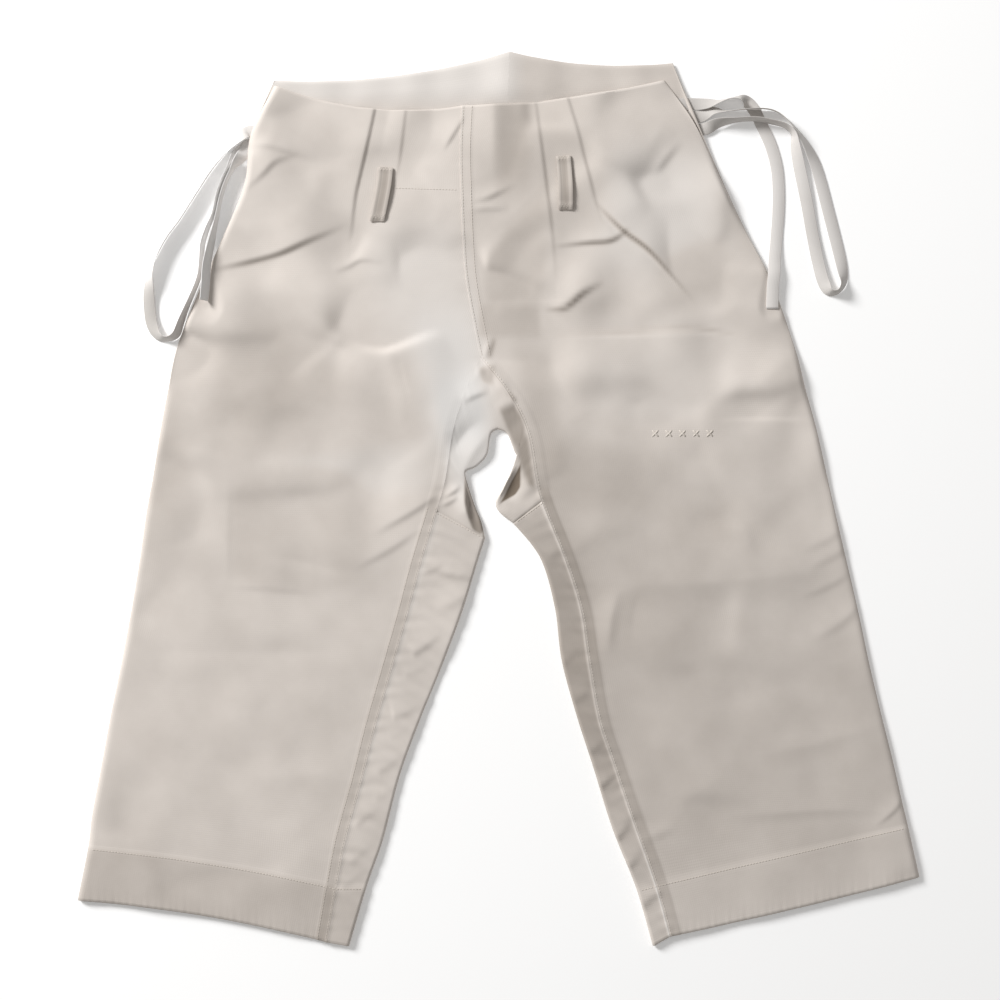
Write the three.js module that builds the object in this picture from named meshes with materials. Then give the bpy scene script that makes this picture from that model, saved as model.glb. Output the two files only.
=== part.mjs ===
// Karate gi trousers (zubon), front up, laid flat on a surface.
// Millimetres. +X is the viewer's right (the wearer's left), +Y runs up to the waist and
// +Z rises from the surface, which is z = 0. Every piece of canvas is a thin closed wall.
import * as THREE from "three";

// ---- Driving dimensions ----
const CLOTH = 1.2; // canvas wall, its felled seams included
const SEAM_GAP = 0.4; // between the walls of two pieces that are sewn together
const CROSS_SEAM_SHIFT = 0.35; // each side's share of the gap at the slanted gusset seams
const TOP_LAYER = 4.6; // middle of the upper layer of cloth above the surface
const SIDE_SEAM = 2.3; // middle of the upper layer where it comes down to the side seam
const SIDE_ROLL = 12; // width of the stretch that comes down to the side seam
const TAPE_WIDTH = 12.5;
const TAPE_THICKNESS = 0.8;
const LOOP_WIDTH = 14.5;
const LOOP_THICKNESS = 1.0;
const LOOP_BOW = 2.4; // how far a belt loop stands off the trousers at its middle
const CASING_LIFT = 2.8; // how far the side opens where the tie tapes leave the casing
const CASING_REACH = 22; // half the height of that opening
const CASING_EXIT = { right: 368, left: 393 }; // its middle on each side
const PLEAT_RISE = 2.0;

// ---- Cutting lines, one row for each height on the leg ----
// outer: side seam. inner: centre front seam, and below the fork the inseam.
// fold: inner edge of the leg, where the back panel turns round to the front.
// sag: how far the middle of the row lies above (+) or below (-) the straight line.
const LEG_COLUMNS = ["name", "outerX", "outerY", "innerX", "innerY", "sag", "foldX", "foldY"];
const RIGHT_LEG = [
  ["waist", -230, 425, -37, 405, -13],
  ["casing", -254, 375, -39, 359, -4],
  ["hip", -261, 324, -38, 316, 0],
  ["dart", -284, 268, -36, 266, 0],
  ["seat", -304, 223, -32, 220, 0],
  ["crotch", -330, 158, -18, 146, 0],
  ["fork", -340, 111, -31, 116, 0],
  ["gusset", -348, 68, -46, 71, 0],
  ["gusset_end", -355, 24, -54, 21, 0],
  ["corner", -362, -15, -63, -13, 0, -14, -41],
  ["thigh", -369, -63, -79, -66, 0, -22, -66],
  ["above_knee", -378, -117, -94, -122, 0, -38, -118],
  ["knee", -388, -170, -110, -178, 0, -59, -174],
  ["below_knee", -399, -224, -126, -234, 0, -81, -228],
  ["calf", -409, -278, -140, -290, 0, -102, -286],
  ["shin", -418, -326, -156, -349, 3, -119, -351],
  ["hem_top", -422, -359, -166, -400, 4, -136, -400],
  ["hem", -433, -414, -176, -457, 6, -154, -461],
];
const LEFT_LEG = [
  ["waist", 171, 431, -37, 405, -6],
  ["casing", 201, 385, -39, 359, -2],
  ["hip", 233, 321, -38, 316, 0],
  ["dart", 256, 274, -36, 266, 0],
  ["seat", 281, 225, -32, 220, 0],
  ["crotch", 306, 154, -18, 146, 0],
  ["fork", 317, 111, 10, 110, 0],
  ["gusset", 328, 71, 30, 71, 0],
  ["gusset_end", 339, 22, 39, 21, 0],
  ["corner", 346, -9, 45, -3, 0, 16, -25],
  ["thigh", 359, -65, 68, -60, 0, 44, -61],
  ["above_knee", 371, -117, 85, -113, 0, 59, -112],
  ["knee", 382, -169, 93, -166, 0, 66, -166],
  ["below_knee", 394, -220, 104, -228, 0, 81, -222],
  ["calf", 406, -268, 119, -273, 0, 99, -278],
  ["shin", 416, -312, 137, -326, 0, 118, -339],
  ["hem_top", 422, -337, 162, -397, 0, 143, -402],
  ["hem", 434, -390, 177, -451, -2, 160, -461],
];
// The back rises higher at the waist, and its centre seam lies to the left of the front's.
const BACK_COLUMNS = ["name", "outerX", "outerY", "innerX", "innerY", "sag"];
const RIGHT_BACK_TOP = [
  ["waist", -231, 431, 12, 460, -10],
  ["casing", -254, 375, 8, 364, 0],
  ["hip", -261, 324, 3, 318, 0],
  ["dart", -284, 268, -3, 268, 0],
  ["seat", -304, 223, -8, 220, 0],
];
const LEFT_BACK_TOP = [
  ["waist", 177, 450, 12, 460, -7],
  ["casing", 201, 385, 8, 364, 0],
  ["hip", 233, 321, 3, 318, 0],
  ["dart", 256, 274, -3, 268, 0],
  ["seat", 281, 225, -8, 220, 0],
];
// Folded edge of the gusset, from the crotch row down to the corner on each leg.
const EDGE_COLUMNS = ["row", "x", "y"];
const RIGHT_GUSSET_EDGE = [
  ["crotch", 0, 72],
  ["fork", -13, 44],
  ["gusset", -33, 26],
  ["gusset_end", -21, -9],
  ["corner", -14, -41],
];
const LEFT_GUSSET_EDGE = [
  ["crotch", 0, 72],
  ["fork", 13, 62],
  ["gusset", 18, 43],
  ["gusset_end", -2, 3],
  ["corner", 16, -25],
];

// ---- Pleats: place across the front panel (0 side seam, 1 centre), and where they fade out ----
const PLEAT_COLUMNS = ["place", "endRow"];
const RIGHT_PLEATS = [
  [0.53, "dart"],
  [0.705, "hip"],
];
const LEFT_PLEATS = [
  [0.485, "dart"],
  [0.667, "seat"],
];
const PLEAT_RAMP = 0.1; // share of the panel over which the cloth climbs to the pleat's edge
const PLEAT_EDGE = 0.012; // share over which it drops again
const PLEAT_FULL = 0.4; // share of the pleat's length, from the waist, at its full height

// ---- Largest folds of the upper layer: a straight run each, a ridge (+) or a trough (-) ----
const FOLD_COLUMNS = ["name", "x0", "y0", "x1", "y1", "rise", "halfWidth"];
const FOLDS = [
  ["left_hip_diagonal", 102, 303, 202, 208, 2.2, 12],
  ["left_thigh_crease", 60, 170, 246, 168, 1.2, 12],
  ["seat_block", -14, 182, 45, 184, 1.8, 12],
  ["right_hip_valley", -267, 246, -154, 285, -1.0, 16],
  ["right_thigh_fold", -228, 144, -172, 184, 2.0, 15],
  ["right_lap_valley", -102, 248, -74, 216, -0.9, 12],
  ["left_lap_valley", 60, 264, 125, 273, -1.0, 12],
  ["fork_tuft", -9, 172, -7, 149, 2.4, 9],
];

// ---- Belt loops: the panel's row and place across it at each end ----
const LOOP_COLUMNS = ["name", "side", "topRow", "topPlace", "endRow", "endPlace"];
const BELT_LOOPS = [
  ["belt_loop_right", "right", 1.48, 0.649, 2.645, 0.633],
  ["belt_loop_left", "left", 1.32, 0.579, 2.42, 0.619],
];

// ---- Tie tapes: x, y, bank (0 flat, 90 on edge) and the height of the underside ----
const ROUTE_COLUMNS = ["x", "y", "bank", "lift"];
const TAPES = {
  tie_loop_right: [
    [-244, 378.6, 0, 1.6],
    [-257, 378.4, 0, 1.6],
    [-264.7, 372.3, 35, 1],
    [-279.1, 356.9, 72, 0.3],
    [-294.6, 338.4, 80, 0.2],
    [-310.5, 314.2, 80, 0.2],
    [-327.5, 287.4, 80, 0.2],
    [-340.9, 269.3, 80, 0.2],
    [-350.7, 251.3, 78, 0.2],
    [-357.4, 233.3, 60, 0.2],
    [-360, 214.8, 25, 0.2],
    [-359.5, 196.2, 10, 0.2],
    [-356.9, 179.7, 15, 0.2],
    [-350.2, 167.9, 45, 0.2],
    [-340.9, 164.3, 72, 0.2],
    [-331.7, 168.9, 60, 0.2],
    [-326.5, 181.8, 66, 0.2],
    [-320.8, 196.2, 76, 0.2],
    [-313.1, 213.7, 80, 0.2],
    [-307.5, 229.2, 80, 0.2],
    [-305.4, 245.7, 78, 0.2],
    [-303.9, 262.1, 76, 0.2],
    [-299.2, 277.6, 80, 0.2],
    [-293, 292.5, 84, 0.2],
    [-288.9, 311.6, 84, 0.2],
    [-283.8, 327, 84, 0.2],
    [-277.1, 340.9, 80, 0.2],
    [-269, 354.4, 36, 0.8],
    [-263.1, 359.8, 8, 1.2],
    [-257.5, 364.7, 0, 1.4],
    [-244, 365.4, 0, 1.4],
  ],
  tie_end_right: [
    [-244, 364.4, 0, 2.6],
    [-257.1, 362.4, -3, 2.6],
    [-261.4, 356.2, -12, 2.8],
    [-266, 349.6, -42, 2.9],
    [-273.6, 338.9, -80, 0.4],
    [-280, 325.6, -84, 0.2],
    [-285.1, 310.3, -84, 0.2],
    [-289, 291.3, -82, 0.2],
    [-292, 277.6, -76, 0.2],
    [-294.6, 265.2, -66, 1.2],
    [-297.2, 250.8, -60, 4.8],
    [-299.2, 237.4, -55, 6.1],
    [-300.2, 220.9, -55, 6.3],
    [-301.8, 203.4, -58, 6.3],
  ],
  tie_loop_left: [
    [184, 393.8, 0, 1.6],
    [207, 393.8, 0, 1.6],
    [220.4, 399.1, -35, 1.5],
    [233.8, 398.6, -72, 1.4],
    [251.3, 400.2, -80, 1.7],
    [269.9, 401.2, -80, 1.7],
    [284.3, 399.1, -78, 0.8],
    [296.6, 391.4, -74, 0.2],
    [308, 378.5, -62, 0.2],
    [318.3, 363.1, -40, 0.2],
    [326.5, 346.6, -18, 0.2],
    [333.2, 326, -8, 0.2],
    [340.4, 298.2, -5, 0.2],
    [347.6, 270.4, -5, 0.2],
    [352.8, 248.7, -10, 0.2],
    [355.4, 233.3, -25, 0.2],
    [355.4, 220.9, -55, 0.2],
    [349.7, 212.7, -72, 0.2],
    [341.4, 212.7, -60, 0.2],
    [335.8, 223, -25, 0.2],
    [330.6, 242.6, -12, 0.2],
    [324.4, 273.5, -6, 0.2],
    [318.3, 307.5, -10, 0.2],
    [311.1, 340.4, -22, 0.2],
    [306.4, 363.1, -50, 0.2],
    [304.4, 375.4, -74, 0.2],
    [296.6, 383.2, -80, 0.4],
    [282.2, 387.3, -80, 1.4],
    [264.7, 390.4, -80, 1.4],
    [244.1, 389.3, -78, 1.4],
    [225.6, 386.2, -45, 1.4],
    [213, 381, -4, 1.6],
    [197, 380.9, 0, 1.6],
  ],
  tie_end_left: [
    [176, 406.8, 0, 1.6],
    [201, 406.8, 0, 1.6],
    [215.3, 406.9, -25, 1.2],
    [227.6, 408.9, -66, 0.3],
    [239, 412, -76, 0.2],
    [249.3, 412.5, -58, 0.2],
    [257, 409.4, -6, 0.1],
    [262.1, 404.3, 0, 0.1],
    [266.8, 397.1, 0, 0.1],
    [270.9, 388.3, 0, 0.1],
    [277.1, 375.4, 0, 0.1],
    [283.2, 360, 0, 0.2],
    [287.9, 340.4, 0, 0.2],
    [289.6, 317.8, 0, 0.2],
    [289.2, 293, 0, 0.2],
    [287.4, 268.3, 0, 0.3],
    [285.3, 247.7, 0, 2.6],
    [284.1, 232.3, 2, 5.6],
    [282.8, 214.8, 0, 5.9],
    [282.2, 195.2, 0, 5.9],
  ],
};
const TAPE_STEP = 14; // length of one straight step of a tape's wall
const TAPE_SPAN = 0.05; // share of a route's row on each side over which its direction is taken
const LEAST_LIFT = 0.1;

// ---- How finely the walls are divided ----
const ROWS_BETWEEN = 2; // wall rows for each row of the cutting table
const BACK_SPAN = 4; // columns of the part of a back panel that lies on the surface
const STRIP_SPAN = 2; // columns of the strip on each side of the leg's inner fold
const FOLD_STEPS = 4; // facets round a folded edge
const LOOP_STEPS = 6;

const CANVAS = { color: 0xded8d2, roughness: 0.9, metalness: 0 };
const TAPE = { color: 0xe4e1dc, roughness: 0.85, metalness: 0 };

// Turns a table's rows into objects with the names of its columns.
function named(columns, rows) {
  return rows.map((row) => {
    return Object.fromEntries(row.map((value, i) => [columns[i], value]));
  });
}

function lerp(a, b, t) {
  return a + (b - a) * t;
}

// 0 below a, 1 above b, and a smooth rise between them.
function rise(a, b, x) {
  return THREE.MathUtils.smoothstep(x, a, b);
}

// A smooth line through a column pair of a table, as a function of the row number. It may
// turn sharply at one row, the kink.
function lineThrough(rows, xKey, yKey, kink = 0) {
  const curve = (t) => {
    const last = rows.length - 1;
    const i = Math.min(Math.floor(t), last - 1);
    const [low, high] = i < kink ? [0, kink] : [kink, last];
    const at = (k) => rows[Math.max(low, Math.min(high, k))];
    const spline = (key) => {
      const [p, q, r, s] = [at(i - 1)[key], at(i)[key], at(i + 1)[key], at(i + 2)[key]];
      const f = t - i;
      const cubic = 2 * q + (r - p) * f + (2 * p - 5 * q + 4 * r - s) * f * f;
      return 0.5 * (cubic + (3 * q - p - 3 * r + s) * f * f * f);
    };
    return new THREE.Vector2(spline(xKey), spline(yKey));
  };
  return curve;
}

// Height of the upper layer's middle at a place, folds included and the seams left out.
function foldHeight(x, y) {
  let height = TOP_LAYER;
  for (const fold of named(FOLD_COLUMNS, FOLDS)) {
    const run = new THREE.Line3(
      new THREE.Vector3(fold.x0, fold.y0, 0),
      new THREE.Vector3(fold.x1, fold.y1, 0),
    );
    const here = new THREE.Vector3(x, y, 0);
    const nearest = run.closestPointToPoint(here, true, new THREE.Vector3());
    const away = nearest.distanceTo(here) / fold.halfWidth;
    height += fold.rise * Math.exp(-away * away);
  }
  return height;
}

// The lines of one leg, its front and back, shared by every piece that meets there.
function legLines(side) {
  const right = side === "right";
  const front = named(LEG_COLUMNS, right ? RIGHT_LEG : LEFT_LEG);
  const top = named(BACK_COLUMNS, right ? RIGHT_BACK_TOP : LEFT_BACK_TOP);
  const back = front.map((row, i) => top[i] ?? row);
  const rowOf = (name) => front.findIndex((row) => row.name === name);
  const corner = rowOf("corner");
  const crotch = rowOf("crotch");
  const folds = front.slice(corner);
  const edge = named(EDGE_COLUMNS, right ? RIGHT_GUSSET_EDGE : LEFT_GUSSET_EDGE);
  const foldLine = lineThrough(folds, "foldX", "foldY");
  const edgeLine = lineThrough(edge, "x", "y");
  return {
    side,
    inward: right ? 1 : -1,
    front,
    back,
    rowOf,
    corner,
    crotch,
    pleats: named(PLEAT_COLUMNS, right ? RIGHT_PLEATS : LEFT_PLEATS),
    outer: lineThrough(front, "outerX", "outerY"),
    inner: lineThrough(front, "innerX", "innerY", crotch),
    backOuter: lineThrough(back, "outerX", "outerY"),
    backInner: lineThrough(back, "innerX", "innerY", crotch),
    fold: (row) => foldLine(row - corner),
    edge: (row) => edgeLine(row - crotch),
    sag: (rows, row) => lerp(rows[Math.floor(row)].sag, rows[Math.ceil(row)].sag, row % 1),
  };
}

// A place on a row between its two ends, u = 0 outside and 1 inside, with the row's sag.
function across(leg, rows, outer, inner, row, u) {
  const a = outer(row);
  const b = inner(row);
  b.x -= (leg.inward * SEAM_GAP) / 2;
  const place = a.lerp(b, u);
  place.y += leg.sag(rows, row) * 4 * u * (1 - u);
  return place;
}

// Extra height at a pleat: a long climb to its edge and a short drop past it.
function pleatHeight(leg, row, u) {
  let height = 0;
  for (const pleat of leg.pleats) {
    const fade = 1 - rise(PLEAT_FULL, 1, row / leg.rowOf(pleat.endRow));
    const climb = rise(pleat.place - PLEAT_RAMP, pleat.place - PLEAT_EDGE, u);
    const drop = rise(pleat.place - PLEAT_EDGE, pleat.place + PLEAT_EDGE, u);
    height += PLEAT_RISE * fade * (climb - drop);
  }
  return height;
}

// A point on the middle of a front panel's wall.
function frontPoint(leg, row, u) {
  const place = across(leg, leg.front, leg.outer, leg.inner, row, u);
  const fromSide = place.distanceTo(leg.outer(row));
  const fromExit = Math.abs(place.y - CASING_EXIT[leg.side]);
  const open = 1 - rise(CASING_REACH, 2 * CASING_REACH, fromExit);
  const low = SIDE_SEAM + CASING_LIFT * open;
  const full = foldHeight(place.x, place.y) + pleatHeight(leg, row, u);
  const height = lerp(low, full, Math.sqrt(Math.min(1, fromSide / SIDE_ROLL)));
  return new THREE.Vector3(place.x, place.y, height);
}

// A section that lies on the surface from `seam` to the folded edge, turns up round it and
// comes back over the top to the same seam.
function foldedSection(seam, edge) {
  const below = CLOTH / 2;
  const length = edge.distanceTo(seam);
  const radius = (TOP_LAYER - below) / 2;
  const turn = 1 - radius / length;
  const start = SEAM_GAP / 2 / length;
  const points = [];
  for (let k = 0; k <= STRIP_SPAN; k++) {
    const place = seam.clone().lerp(edge, lerp(start, turn, k / STRIP_SPAN));
    points.push(new THREE.Vector3(place.x, place.y, below));
  }
  for (let k = 1; k < FOLD_STEPS; k++) {
    const angle = (Math.PI * k) / FOLD_STEPS;
    const place = seam.clone().lerp(edge, turn + (radius * Math.sin(angle)) / length);
    points.push(new THREE.Vector3(place.x, place.y, below + radius * (1 - Math.cos(angle))));
  }
  for (let k = STRIP_SPAN; k >= 0; k--) {
    const place = seam.clone().lerp(edge, lerp(start, turn, k / STRIP_SPAN));
    const height = k === STRIP_SPAN ? TOP_LAYER : foldHeight(place.x, place.y);
    points.push(new THREE.Vector3(place.x, place.y, height));
  }
  return points;
}

// Closed wall round a sheet: rows of points, each row joined to the next one as far as the
// shorter reaches, moved out along its normals on both sides and closed round its rim.
function wall(rows, thickness) {
  const points = rows.flat();
  const starts = [];
  rows.reduce((total, row) => {
    starts.push(total);
    return total + row.length;
  }, 0);
  const faces = [];
  for (let i = 0; i + 1 < rows.length; i++) {
    const shared = Math.min(rows[i].length, rows[i + 1].length);
    for (let j = 0; j + 1 < shared; j++) {
      const [a, b] = [starts[i] + j, starts[i] + j + 1];
      const [c, d] = [starts[i + 1] + j + 1, starts[i + 1] + j];
      if (points[a].distanceTo(points[c]) < points[b].distanceTo(points[d])) {
        faces.push([a, b, c], [a, c, d]);
      } else {
        faces.push([a, b, d], [b, c, d]);
      }
    }
  }
  const normals = points.map(() => new THREE.Vector3());
  for (const face of faces) {
    const [p, q, r] = face.map((k) => points[k]);
    const normal = q.clone().sub(p).cross(r.clone().sub(p));
    face.forEach((k) => normals[k].add(normal));
  }
  const count = points.length;
  const vertices = [1, -1].flatMap((way) => {
    return points.map((point, k) => {
      return point.clone().addScaledVector(normals[k].clone().normalize(), (way * thickness) / 2);
    });
  });
  const edges = new Map();
  for (const [a, b, c] of faces) {
    for (const [from, to] of [[a, b], [b, c], [c, a]]) {
      edges.set(`${from},${to}`, [from, to]);
    }
  }
  const triangles = faces.flatMap(([a, b, c]) => [[a, b, c], [c + count, b + count, a + count]]);
  for (const [from, to] of edges.values()) {
    if (!edges.has(`${to},${from}`)) {
      triangles.push([to, from, from + count], [to, from + count, to + count]);
    }
  }
  return closedGeometry(vertices, triangles);
}

// Geometry of a closed surface from its corner points and its triangles, which face outwards.
function closedGeometry(vertices, triangles) {
  const geometry = new THREE.BufferGeometry().setFromPoints(vertices);
  geometry.setIndex(triangles.flat());
  geometry.computeVertexNormals();
  return geometry;
}

function meshOf(name, geometry, finish) {
  const mesh = new THREE.Mesh(geometry, new THREE.MeshStandardMaterial(finish));
  mesh.name = name;
  return mesh;
}

// Row numbers from one row of the table to another, with the rows between them.
function rowNumbers(from, to) {
  const count = Math.round(Math.abs(to - from) * ROWS_BETWEEN);
  return Array.from({ length: count + 1 }, (_, k) => lerp(from, to, k / count));
}

// Columns of a front panel: closer at the side seam and on each side of a pleat's edge.
function frontColumns(leg) {
  const [first, second] = leg.pleats.map((pleat) => pleat.place);
  const side = [0, 0.012, 0.035, 0.12, 0.24, 0.37];
  const pleats = [first - PLEAT_EDGE, first + PLEAT_EDGE, second - PLEAT_EDGE, second + PLEAT_EDGE];
  const middle = (first + second) / 2;
  return [...side, ...pleats.slice(0, 2), middle, ...pleats.slice(2), 0.82, 0.91, 1];
}

// Front of one leg, from the waist to the hem.
function frontPanel(leg) {
  const columns = frontColumns(leg);
  const rows = rowNumbers(0, leg.front.length - 1).map((row) => {
    return columns.map((u) => frontPoint(leg, row, u));
  });
  return meshOf(`front_${leg.side}_panel`, wall(rows, CLOTH), CANVAS);
}

// Back of one leg: it lies on the surface, and below the gusset it turns round the leg's
// inner edge and comes over to the inseam on the front.
function backPanel(leg) {
  const rows = rowNumbers(0, leg.back.length - 1).map((row) => {
    const flat = Array.from({ length: BACK_SPAN + 1 }, (_, k) => {
      const u = k / BACK_SPAN;
      const place = across(leg, leg.back, leg.backOuter, leg.backInner, row, u);
      return new THREE.Vector3(place.x, place.y, CLOTH / 2);
    });
    if (row < leg.corner) {
      return flat;
    }
    const seam = leg.inner(row);
    const strip = foldedSection(seam, leg.fold(row));
    if (row === leg.corner) {
      [...flat.slice(-1), ...strip].forEach((point) => {
        point.y -= CROSS_SEAM_SHIFT;
      });
    }
    return [...flat, ...strip.slice(1)];
  });
  return meshOf(`back_${leg.side}_panel`, wall(rows, CLOTH), CANVAS);
}

// Gusset between the legs: it reaches from the fronts' inseams over the folded edge of the
// crotch to the backs, from one leg's corner up to the fork and down to the other's.
function gusset(right, left) {
  const half = (leg) => {
    return rowNumbers(leg.corner, leg.crotch).map((row) => {
      const section = foldedSection(leg.inner(row), leg.edge(row));
      if (row === leg.corner) {
        section.forEach((point) => {
          point.y += CROSS_SEAM_SHIFT;
        });
      }
      return section;
    });
  };
  const rows = [...half(right), ...half(left).reverse().slice(1)];
  return meshOf("crotch_gusset", wall(rows, CLOTH), CANVAS);
}

// Belt loop: a short band on the front panel, sewn down at both ends and bowed between.
function beltLoop(loop, leg) {
  const away = CLOTH / 2 + SEAM_GAP + LOOP_THICKNESS / 2;
  const rows = Array.from({ length: LOOP_STEPS + 1 }, (_, k) => {
    const t = k / LOOP_STEPS;
    const row = lerp(loop.topRow, loop.endRow, t);
    const place = lerp(loop.topPlace, loop.endPlace, t);
    const width = leg.outer(row).distanceTo(leg.inner(row));
    return [-0.5, 0, 0.5].map((part) => {
      const point = frontPoint(leg, row, place + (part * LOOP_WIDTH) / width);
      const highest = Math.max(point.z, frontPoint(leg, row, place).z);
      point.z = highest + away + LOOP_BOW * Math.sin(Math.PI * t);
      return point;
    });
  });
  return meshOf(loop.name, wall(rows, LOOP_THICKNESS), CANVAS);
}

// Tie tape: a flat ribbon along its route, banked from flat to on edge, that rests on the
// surface or on what it crosses. Its two broad sides are split along the same diagonals, so
// that they stay parallel where the ribbon twists.
function tieTape(name, rows) {
  const route = named(ROUTE_COLUMNS, rows);
  const plan = lineThrough(route, "x", "y");
  const pose = lineThrough(route, "bank", "lift");
  const centre = (t) => {
    const place = plan(t);
    const { x: bank, y: lift } = pose(t);
    const angle = THREE.MathUtils.degToRad(bank);
    const reach = (TAPE_WIDTH * Math.abs(Math.sin(angle)) + TAPE_THICKNESS * Math.cos(angle)) / 2;
    const height = Math.max(lift, LEAST_LIFT) + reach;
    return { angle, point: new THREE.Vector3(place.x, place.y, height) };
  };
  const last = route.length - 1;
  const length = route.slice(1).reduce((sum, row, k) => {
    return sum + Math.hypot(row.x - route[k].x, row.y - route[k].y);
  }, 0);
  const steps = Math.max(last, Math.round(length / TAPE_STEP));
  const vertices = [];
  for (let k = 0; k <= steps; k++) {
    const t = (last * k) / steps;
    const { angle, point } = centre(t);
    const before = centre(Math.max(0, t - TAPE_SPAN)).point;
    const along = centre(Math.min(last, t + TAPE_SPAN)).point.sub(before).normalize();
    const level = new THREE.Vector3(0, 0, 1).cross(along).normalize();
    const broad = level.clone().applyAxisAngle(along, angle);
    const thin = along.clone().cross(broad);
    for (const [w, h] of [[-1, -1], [1, -1], [1, 1], [-1, 1]]) {
      const corner = point.clone().addScaledVector(broad, (w * TAPE_WIDTH) / 2);
      corner.addScaledVector(thin, (h * TAPE_THICKNESS) / 2);
      corner.z = Math.max(corner.z, 0);
      vertices.push(corner);
    }
  }
  const triangles = [];
  for (let k = 0; k < steps; k++) {
    for (let side = 0; side < 4; side++) {
      const [a, b] = [4 * k + side, 4 * k + ((side + 1) % 4)];
      if (side < 2) {
        triangles.push([a, b, a + 4], [b, b + 4, a + 4]);
      } else {
        triangles.push([a, b, b + 4], [a, b + 4, a + 4]);
      }
    }
  }
  const end = 4 * steps;
  triangles.push([0, 2, 1], [0, 3, 2], [end, end + 1, end + 2], [end, end + 2, end + 3]);
  return meshOf(name, closedGeometry(vertices, triangles), TAPE);
}

const legs = { right: legLines("right"), left: legLines("left") };
const trousers = new THREE.Group();
for (const leg of Object.values(legs)) {
  trousers.add(frontPanel(leg), backPanel(leg));
}
trousers.add(gusset(legs.right, legs.left));
for (const loop of named(LOOP_COLUMNS, BELT_LOOPS)) {
  trousers.add(beltLoop(loop, legs[loop.side]));
}
for (const [name, rows] of Object.entries(TAPES)) {
  trousers.add(tieTape(name, rows));
}

export default trousers;
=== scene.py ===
import math

import bmesh
import bpy
import numpy as np
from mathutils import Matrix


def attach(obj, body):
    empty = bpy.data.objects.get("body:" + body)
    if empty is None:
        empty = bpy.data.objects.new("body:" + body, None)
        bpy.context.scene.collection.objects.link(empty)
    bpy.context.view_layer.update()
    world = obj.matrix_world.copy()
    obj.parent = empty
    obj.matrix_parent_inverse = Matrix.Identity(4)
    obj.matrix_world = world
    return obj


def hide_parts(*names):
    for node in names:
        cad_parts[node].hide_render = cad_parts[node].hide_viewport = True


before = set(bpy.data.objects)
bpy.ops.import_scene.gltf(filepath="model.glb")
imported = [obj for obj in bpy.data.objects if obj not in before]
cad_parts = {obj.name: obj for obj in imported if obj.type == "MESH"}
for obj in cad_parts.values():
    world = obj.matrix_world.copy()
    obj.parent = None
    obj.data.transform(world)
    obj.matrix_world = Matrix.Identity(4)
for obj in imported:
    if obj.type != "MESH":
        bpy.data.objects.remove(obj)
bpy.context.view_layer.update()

MM = 0.001
WELD = 1e-6  # points nearer than this, in metres, are one

# ---- Driving sizes, in millimetres ----
WALL = 1.1  # one layer of canvas
UPPER_FACE = 6.0  # upper side of the upper layer, where it lies smooth
SIDE_HEIGHT = 2.8  # height at which the two layers meet at the side
SIDE_RADIUS = 6.5  # width of the rolled side
LOWEST_UPPER = 3.0  # a trough never takes the upper layer below this
SEAM_RISE = 0.3
SEAM_WIDTH = 1.8
SEAM_PALE = {"right": 0.16, "left": 0.62}  # how much paler the cloth is along an inner seam
FELL_WIDTH = 11.5  # felled seam, from the seam line to its second row of stitches
FELL_RISE = 0.35
HEM_RISE = 0.8
STITCH_PITCH = 3.2
TAPE_WIDTH = 12.5
TAPE_THICKNESS = 0.8
LOOP_WIDTH = 14.5
LOOP_THICKNESS = 1.0
LOOP_BOW = 2.6
EXIT_LIFT = 3.0  # how far the side opens where the tapes leave the casing
EXIT_REACH = 24
EXIT_HEIGHT = {"right": 368, "left": 393}  # place along Y of the middle of that opening

# ---- Camera: straight above, so that one metre fills nearly the whole picture ----
CAMERA_PLACE = (0.002, -0.0015, 1.7217)
LENS = 60

# ---- Cutting lines of each leg, one entry for each of these heights ----
HEIGHTS = ("waist casing hip dart seat crotch fork gusset gusset_end corner thigh above_knee"
           " knee below_knee calf shin hem_top hem").split()
CROTCH = HEIGHTS.index("crotch")
CORNER = HEIGHTS.index("corner")
HEM_TOP = HEIGHTS.index("hem_top")
LAST = len(HEIGHTS) - 1

RIGHT = {
    "name": "right",
    "outer": [(-230, 425), (-254, 375), (-261, 324), (-284, 268), (-304, 223), (-330, 158),
              (-340, 111), (-348, 68), (-355, 24), (-362, -15), (-369, -63), (-378, -117),
              (-388, -170), (-399, -224), (-409, -278), (-418, -326), (-422, -359), (-433, -414)],
    "inner": [(-37, 405), (-39, 359), (-38, 316), (-36, 266), (-32, 220), (-18, 146),
              (-31, 116), (-46, 71), (-54, 21), (-63, -13), (-79, -66), (-94, -122),
              (-110, -178), (-126, -234), (-140, -290), (-156, -349), (-166, -400), (-176, -457)],
    "sag": [-13, -4, 0, 0, 0, 0, 0, 0, 0, 0, 0, 0, 0, 0, 0, 3, 4, 6],
    "fold": [(-14, -41), (-22, -66), (-38, -118), (-59, -174), (-81, -228), (-102, -286),
             (-119, -351), (-136, -400), (-154, -461)],
    "back_outer": [(-231, 431), (-254, 375), (-261, 324), (-284, 268), (-304, 223)],
    "back_inner": [(12, 460), (8, 364), (3, 318), (-3, 268), (-8, 220)],
    "back_sag": [-10, 0, 0, 0, 0],
    "gusset_edge": [(0, 72), (-8, 66), (-12, 45), (-23, 33), (-34, 27), (-31, 12), (-24, -9),
                    (-18, -24), (-14, -41)],
}
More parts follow.
